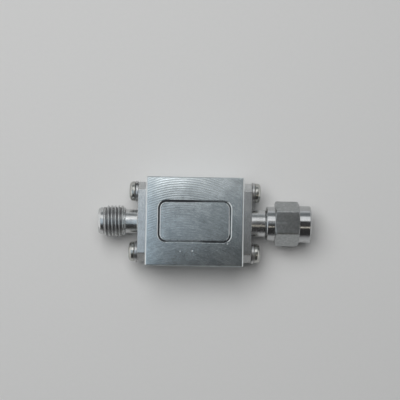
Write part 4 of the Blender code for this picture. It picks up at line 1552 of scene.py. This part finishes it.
@dataclass(frozen=True)
class Fasteners:
    """Flange screws with their split washers, and the cover's countersunk screws."""

    layout: Layout
    spring: bpy.types.Material
    steel: bpy.types.Material
    flange: Flange = Flange()
    recess: Recess = Recess()
    gap: float = 0.03
    radius: float = 1.05
    length: float = 6.35
    head_radius: float = 1.98
    head_height: float = 1.22
    head_side: float = 0.46
    head_ease: float = 0.17
    crown: float = 0.05
    crown_radius: float = 1.09
    recess_depth: float = 0.7
    turns: tuple = (14.0, 62.0, 35.0, 80.0)
    washer_radius: float = 2.1
    washer_bore: float = 1.15
    washer_thickness: float = 0.5
    washer_lift: float = 0.1
    washer_split: float = 0.3
    washer_turns: tuple = (150.0, 40.0, 205.0, 310.0)
    washer_steps: int = 64
    cover_radius: float = 0.74
    cover_length: float = 2.8
    cover_head_radius: float = 1.3
    cover_head_depth: float = 0.7
    cover_head_middle: float = 0.6
    cover_head_ease: float = 0.04
    cover_recess_depth: float = 0.45
    thread_pitch: float = 0.4
    thread_depth: float = 0.2
    thread_crest: float = 0.06
    thread_run_out: float = 0.5
    turn_samples: int = 12
    point_inset: float = 0.1
    point_length: float = 0.15
    thread_start: float = 0.2
    thread_stop: float = 0.1
    steps: int = 72

    @property
    def seat(self) -> float:
        """Distance of a flange screw's seat from the end wall."""
        return self.flange.face + 2 * self.gap + self.washer_thickness + self.washer_lift

    def threaded(self, low: float, high: float, radius: float, angles: np.ndarray) -> np.ndarray:
        """Stations of a threaded shank at each angle."""
        core = radius - self.thread_depth
        thread = Thread(
            low, high - low, self.thread_depth, self.thread_pitch, self.thread_crest,
            run_out=self.thread_run_out,
        )
        x = np.linspace(low, high, self.turn_samples * round((high - low) / self.thread_pitch))
        return np.stack([np.broadcast_to(x, (len(angles), len(x))), core + thread.height(x, angles)], axis=-1)

    def screw(self, head: np.ndarray, low: float, radius: float, angles: np.ndarray) -> np.ndarray:
        """A screw's points: its threaded shank, then its head's stations.

        Args:
            head: Stations from the seat to the axis.
            low: X of the shank's end.
            radius: The shank's radius.
            angles: Angles round it.

        Returns:
            A grid of points.
        """
        core = radius - self.thread_depth
        point = np.array([(low, 0.0), (low, core - self.point_inset), (low + self.point_length, core)])
        shank = self.threaded(low + self.thread_start, head[0, 0] - self.thread_stop, radius, angles)
        parts = [np.broadcast_to(part, (len(angles), *part.shape)) for part in (point, head)]
        return turned(np.concatenate([parts[0], shank, parts[1]], axis=1), angles)

    def pan_head(self) -> np.ndarray:
        """Stations of a pan head: a short upright side, an elliptic shoulder and a low crown."""
        angle = np.linspace(0.0, math.pi / 2, 13)
        shoulder = np.column_stack([
            self.head_side + (self.head_height - self.crown - self.head_side) * np.sin(angle),
            self.crown_radius + (self.head_radius - self.crown_radius) * np.cos(angle),
        ])
        share = np.linspace(1.0, 0.0, 6)[1:]
        crown = np.column_stack([self.head_height - self.crown * share**2, self.crown_radius * share])
        side = [(0.0, self.radius), (0.0, self.head_radius), (self.head_side, self.head_radius)]
        under = eased(side, self.head_ease)[:-1]
        return np.concatenate([under, shoulder, crown])

    def cover_head(self) -> np.ndarray:
        """Stations of a countersunk head with its flat face at 0."""
        return eased([
            (-self.cover_head_depth, self.cover_radius), (0.0, self.cover_head_radius),
            (0.0, self.cover_head_middle), (0.0, 0.0),
        ], [self.cover_head_ease, 0.0])

    def flange_screw(self, turn: float, side: int, end: End) -> bpy.types.Mesh:
        """One flange screw in place.

        Args:
            turn: How far its recess is turned, in degrees.
            side: 1 or -1, the side of the axis that it is on.
            end: The end of the housing.

        Returns:
            Its mesh.
        """
        angles = full_turn(self.steps)
        place = (self.seat, side * self.flange.hole_spacing / 2, 0)
        body = self.screw(self.pan_head(), -self.length, self.radius, angles) + place
        cross = self.turned_about_x(self.recess.points(self.head_radius, self.recess_depth), turn)
        cross = cross + place + np.array([self.head_height, 0, 0])
        solid = self.layout.mesh(body, end, "screw")
        return combined(solid, self.layout.mesh(cross, end, "cross"), Cut.REMOVE)

    def cover_screw(self, turn: float, place: tuple) -> bpy.types.Mesh:
        """One cover screw in place, its head down.

        Args:
            turn: How far its recess is turned, in degrees.
            place: Its (x, y).

        Returns:
            Its mesh.
        """
        body = self.screw(self.cover_head(), -self.cover_length, self.cover_radius, full_turn(self.steps))
        cross = self.turned_about_x(self.recess.points(self.cover_head_radius, self.cover_recess_depth), turn)
        upright = [grid[..., [2, 1, 0]] * (1, 1, -1) + (*place, self.gap) for grid in (body, cross)]
        solid = Shell().add(upright[0]).mesh("screw")
        return combined(solid, Shell().add(upright[1]).mesh("cross"), Cut.REMOVE)

    @staticmethod
    def turned_about_x(grid: np.ndarray, degrees: float) -> np.ndarray:
        """The grid turned about X by so many degrees."""
        cosine, sine = math.cos(math.radians(degrees)), math.sin(math.radians(degrees))
        x, y, z = np.moveaxis(grid, -1, 0)
        return np.stack([x, y * cosine - z * sine, y * sine + z * cosine], axis=-1)

    def build(self) -> None:
        """Makes and dresses every screw and washer."""
        number = 0
        for end in End:
            for side in (1, -1):
                screw = self.flange_screw(self.turns[number], side, end)
                ring = open_ring(
                    self.washer_bore, self.washer_radius, self.washer_thickness, self.washer_split,
                    self.washer_lift, self.washer_turns[number], self.washer_steps,
                )
                place = (self.flange.face + self.gap, side * self.flange.hole_spacing / 2, 0)
                washer = self.layout.mesh(ring + place, end, "washer")
                number += 1
                show(f"pan_screw_{number}", screw, self.steel, (f"flange_screw_{number}",))
                show(f"split_washer_{number}", washer, self.spring, (f"lock_washer_{number}",))
        for number, place in enumerate(Housing.cover_screw_places(), 1):
            screw = self.cover_screw(self.turns[number - 1], place)
            show(f"sunk_screw_{number}", screw, self.steel, (f"cover_screw_{number}",))


@dataclass(frozen=True)
class Circuit:
    """Board, coils and chips inside the pocket."""

    copper: bpy.types.Material
    coil_names: tuple = ("coil_1", "coil_2", "coil_3")
    chip_names: tuple = ("capacitor_1", "capacitor_2", "capacitor_3", "capacitor_4")
    wire: float = 0.24
    turns: float = 4.5
    samples: int = 40
    lead_samples: int = 4
    wire_sides: int = 16

    def winding(self, node: str) -> bpy.types.Mesh:
        """A coil of wire about Y with a straight lead up from each end, inside its node's box.

        Along the winding the path is (R cos a, length s, R sin a) with the angle a falling by the turns.

        Args:
            node: The coil's node, whose box gives the radius, the length and the leads' height.

        Returns:
            Its mesh.
        """
        low, high = (np.array(corner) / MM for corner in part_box(node))
        radius = (high[0] - low[0]) / 2 - self.wire
        length = high[1] - low[1] - 2 * self.wire
        middle = np.array([(low[0] + high[0]) / 2, (low[1] + high[1]) / 2, low[2] + self.wire + radius])
        share = np.linspace(0.0, 1.0, round(self.turns * self.samples) + 1)
        angle = -math.tau * self.turns * share
        winding = np.column_stack([radius * np.cos(angle), length * (share - 0.5), radius * np.sin(angle)])
        drop = high[2] - middle[2]
        lead = np.linspace(1.0, 0.0, self.lead_samples, endpoint=False)[:, None]
        down = winding[:1] + lead * (0, 0, drop)
        up = winding[-1:] + lead[::-1] * (0, 0, drop)
        path = np.concatenate([down, winding, up])
        turn = np.concatenate([
            np.full(self.lead_samples, angle[0]), angle, np.full(self.lead_samples, angle[-1])
        ])
        across = np.column_stack([np.cos(turn), np.zeros_like(turn), np.sin(turn)])
        along = np.gradient(path, axis=0)
        along /= np.linalg.norm(along, axis=1, keepdims=True)
        beside = np.cross(along, across)
        circle = full_turn(self.wire_sides)
        section = self.wire * np.column_stack([np.cos(circle), np.sin(circle)])
        return Shell().add(swept(path + middle, across, beside, section)).mesh(node)

    def build(self) -> None:
        """Makes the windings and dresses the frame's board and chips."""
        for number, node in enumerate(self.coil_names, 1):
            show(f"winding_{number}", self.winding(node), self.copper, (node,))
        laminate = WovenLaminate().material()
        ceramic = TinnedCeramic().material()
        dress("circuit_board", laminate)
        for name in self.chip_names:
            dress(name, ceramic)


def dress(node: str, material: bpy.types.Material) -> None:
    """Gives a node of the frame its finish.

    Args:
        node: The node's name.
        material: The finish.
    """
    piece = frame["nodes"][node]
    piece.data.materials.clear()
    piece.data.materials.append(material)
    LOG.info("%s: carried over from the frame", node)


class Lights(Enum):
    """What a lamp is seen by: matt surfaces, or the shine of smooth ones."""

    MATT = "matt"
    SHINE = "shine"


@dataclass(frozen=True)
class Softbox:
    """One rectangular lamp. Its level is its brightness as a smooth metal shows it, 1 being white."""

    name: str
    place: tuple
    aim: tuple
    size: tuple
    level: float
    lights: Lights = Lights.SHINE
    colour: Colour = (1.0, 1.0, 1.0)

    @classmethod
    def overhead(
        cls, name: str, place: tuple, size: tuple, level: float, colour: Colour = (1.0, 1.0, 1.0)
    ) -> "Softbox":
        """A lamp that hangs over the part and shines straight down."""
        return cls(name, place, (*place[:2], 0.0), size, level, colour=colour)

    def build(self) -> None:
        """Makes the lamp, whose power is pi times its level and its area."""
        data = bpy.data.lights.new(self.name, "AREA")
        data.shape = "RECTANGLE"
        data.size, data.size_y = (side * MM for side in self.size)
        data.energy = math.pi * self.level * data.size * data.size_y
        data.color = self.colour
        lamp = bpy.data.objects.new(self.name, data)
        lamp.location = Vector(self.place) * MM
        toward = Vector(self.aim) * MM - lamp.location
        lamp.rotation_euler = toward.to_track_quat("-Z", "Y").to_euler()
        lamp.visible_camera = False
        lamp.visible_diffuse = self.lights is Lights.MATT
        lamp.visible_glossy = self.lights is Lights.SHINE
        bpy.context.scene.collection.objects.link(lamp)


@dataclass(frozen=True)
class Studio:
    """Floor, room light, lamps and camera."""

    floor_colour: Colour = (0.72, 0.72, 0.715)
    floor_reach: float = 3000.0
    focal: float = 97.6
    sensor: float = 36.0
    eye: tuple = (0.0, -6.5, 225.0)
    aim: tuple = (1.0, 4.5, 6.0)
    roll: float = 1.05
    nearest: float = 10.0
    farthest: float = 10000.0
    lamps: tuple = (
        Softbox("key", (-80.0, 120.0, 380.0), (0.0, 0.0, 0.0), (320.0, 320.0), 4.2, Lights.MATT),
        Softbox("window", (0.0, 138.0, 216.0), (0.0, 0.0, 8.0), (320.0, 134.0), 0.82),
        Softbox("window_edge", (0.0, 96.0, 230.0), (0.0, 0.0, 8.0), (320.0, 30.0), 0.35),
        Softbox.overhead("left_card", (-40.2, -6.5, 53.0), (60.0, 37.0), 0.60, (0.84, 0.99, 1.12)),
        Softbox.overhead("back_card", (-0.5, 16.5, 73.0), (26.0, 14.0), 0.68),
        Softbox.overhead("corner_card", (-7.5, 18.0, 53.0), (11.0, 14.0), 1.30),
        Softbox.overhead("middle_card", (9.0, 4.0, 60.0), (20.0, 13.0), 0.18, (0.90, 1.0, 1.08)),
        Softbox.overhead("field_card", (-3.6, 0.0, 60.0), (13.0, 9.5), 0.35, (0.90, 1.0, 1.10)),
        Softbox(
            "warm_strip", (100.0, -58.0, 150.0), (100.0, 0.0, 8.0), (190.0, 13.0), 1.30,
            colour=(1.0, 0.93, 0.80),
        ),
    )

    def floor(self) -> None:
        """A flat pale sheet under the part."""
        reach = self.floor_reach
        outline = np.array([(-reach, -reach), (reach, -reach), (reach, reach), (-reach, reach)])
        data = bpy.data.meshes.new("floor")
        data.from_pydata((np.column_stack([outline, np.zeros(4)]) * MM).tolist(), [], [(0, 1, 2, 3)])
        s = Surface("floor_paper")
        speck = s.noise(s.place, 1.2, 3.0, 0.6)
        shade = tuple(0.97 * part for part in self.floor_colour)
        data.materials.append(
            s.finish(speck * 0.01, Base_Color=s.blend(speck, shade, self.floor_colour), Roughness=0.9)
        )
        sheet = bpy.data.objects.new("floor", data)
        bpy.context.scene.collection.objects.link(sheet)

    def room(self) -> None:
        """The room as a light: dark overhead, a little lighter low down and at the back.

        White is the background: the camera sees it all round, and shine sees it as low walls on the left, on
        the right and at the back.
        """
        world = bpy.data.worlds.new("room")
        bpy.context.scene.world = world
        world.use_nodes = True
        r = Recipe(world.node_tree)
        x, y, z = r.parts(r.field("ShaderNodeTexCoord", None, None, 0))
        path = r.node("ShaderNodeLightPath")
        camera, glossy, transmission = (Field(r, path.outputs[kind]) for kind in (
            "Is Camera Ray", "Is Glossy Ray", "Is Transmission Ray"
        ))
        left_wall = x.ramp(-0.40, -0.65) * z.ramp(0.80, 0.60) * 0.92
        right_wall = x.ramp(0.50, 0.80) * z.ramp(0.62, 0.42) * 0.85
        back_wall = y.ramp(0.80, 0.95) * z.ramp(0.30, 0.10) * 0.6
        horizon = left_wall.most(right_wall).most(back_wall)
        shown = (camera + glossy * horizon + transmission).least(1.0)
        sky = 0.04 + z.ramp(0.965, 0.99) * 0.05 + y.ramp(0.30, 0.60) * 0.20 + z.ramp(0.25, 0.05) * 0.25
        shader = world.node_tree.nodes["Background"]
        cool = r.blend(y.ramp(0.0, 0.5), (1.0, 1.0, 1.0), (0.90, 0.97, 1.0))
        r.feed(shader, "Color", r.blend(shown, cool, (1.0, 1.0, 1.0)))
        r.feed(shader, "Strength", sky * (1 - shown) + shown)

    def camera(self) -> None:
        """The camera over the part, turned slightly about its line of sight."""
        data = bpy.data.cameras.new("camera")
        data.lens = self.focal
        data.sensor_width = self.sensor
        data.clip_start, data.clip_end = self.nearest * MM, self.farthest * MM
        camera = bpy.data.objects.new("camera", data)
        eye, aim = Vector(self.eye) * MM, Vector(self.aim) * MM
        back = (eye - aim).normalized()
        level = Vector((math.cos(math.radians(self.roll)), math.sin(math.radians(self.roll)), 0.0))
        up = back.cross(level).normalized()
        right = up.cross(back)
        camera.matrix_world = Matrix.Translation(eye) @ Matrix((right, up, back)).transposed().to_4x4()
        bpy.context.scene.collection.objects.link(camera)
        bpy.context.scene.camera = camera

    def build(self) -> None:
        """Makes the stage."""
        self.floor()
        self.room()
        for lamp in self.lamps:
            lamp.build()
        self.camera()
        bpy.context.scene.view_settings.view_transform = "Standard"


def main() -> None:
    """Builds every sub-assembly in order."""
    logging.basicConfig(level=logging.INFO, format="%(name)s: %(message)s")
    layout = Layout.from_frame()
    spring = PlainMetal("spring_steel", (0.66, 0.66, 0.66), (0.50, 0.50, 0.50), 0.28).material()
    screw_steel = PlainMetal("screw_steel", (0.60, 0.60, 0.57), (0.46, 0.46, 0.44), 0.20).material()
    gold = PlainMetal("contact_gold", (0.90, 0.66, 0.30), (0.80, 0.56, 0.24), 0.20).material()
    copper = PlainMetal("coil_copper", (0.80, 0.40, 0.22), (0.66, 0.30, 0.15), 0.22, coat=0.6).material()
    white = SoftSolid("white_insulator", (0.86, 0.86, 0.84), (0.78, 0.78, 0.75), 0.45).material()
    insides = Insides(layout, white, gold)
    plug = Plug(layout, insides)
    Studio().build()
    Housing(layout).build()
    Jack(layout, insides).build()
    plug.build()
    CouplingNut(layout, plug).build(spring)
    Fasteners(layout, spring, screw_steel).build()
    Circuit(copper).build()


if __name__ == "__main__":
    main()
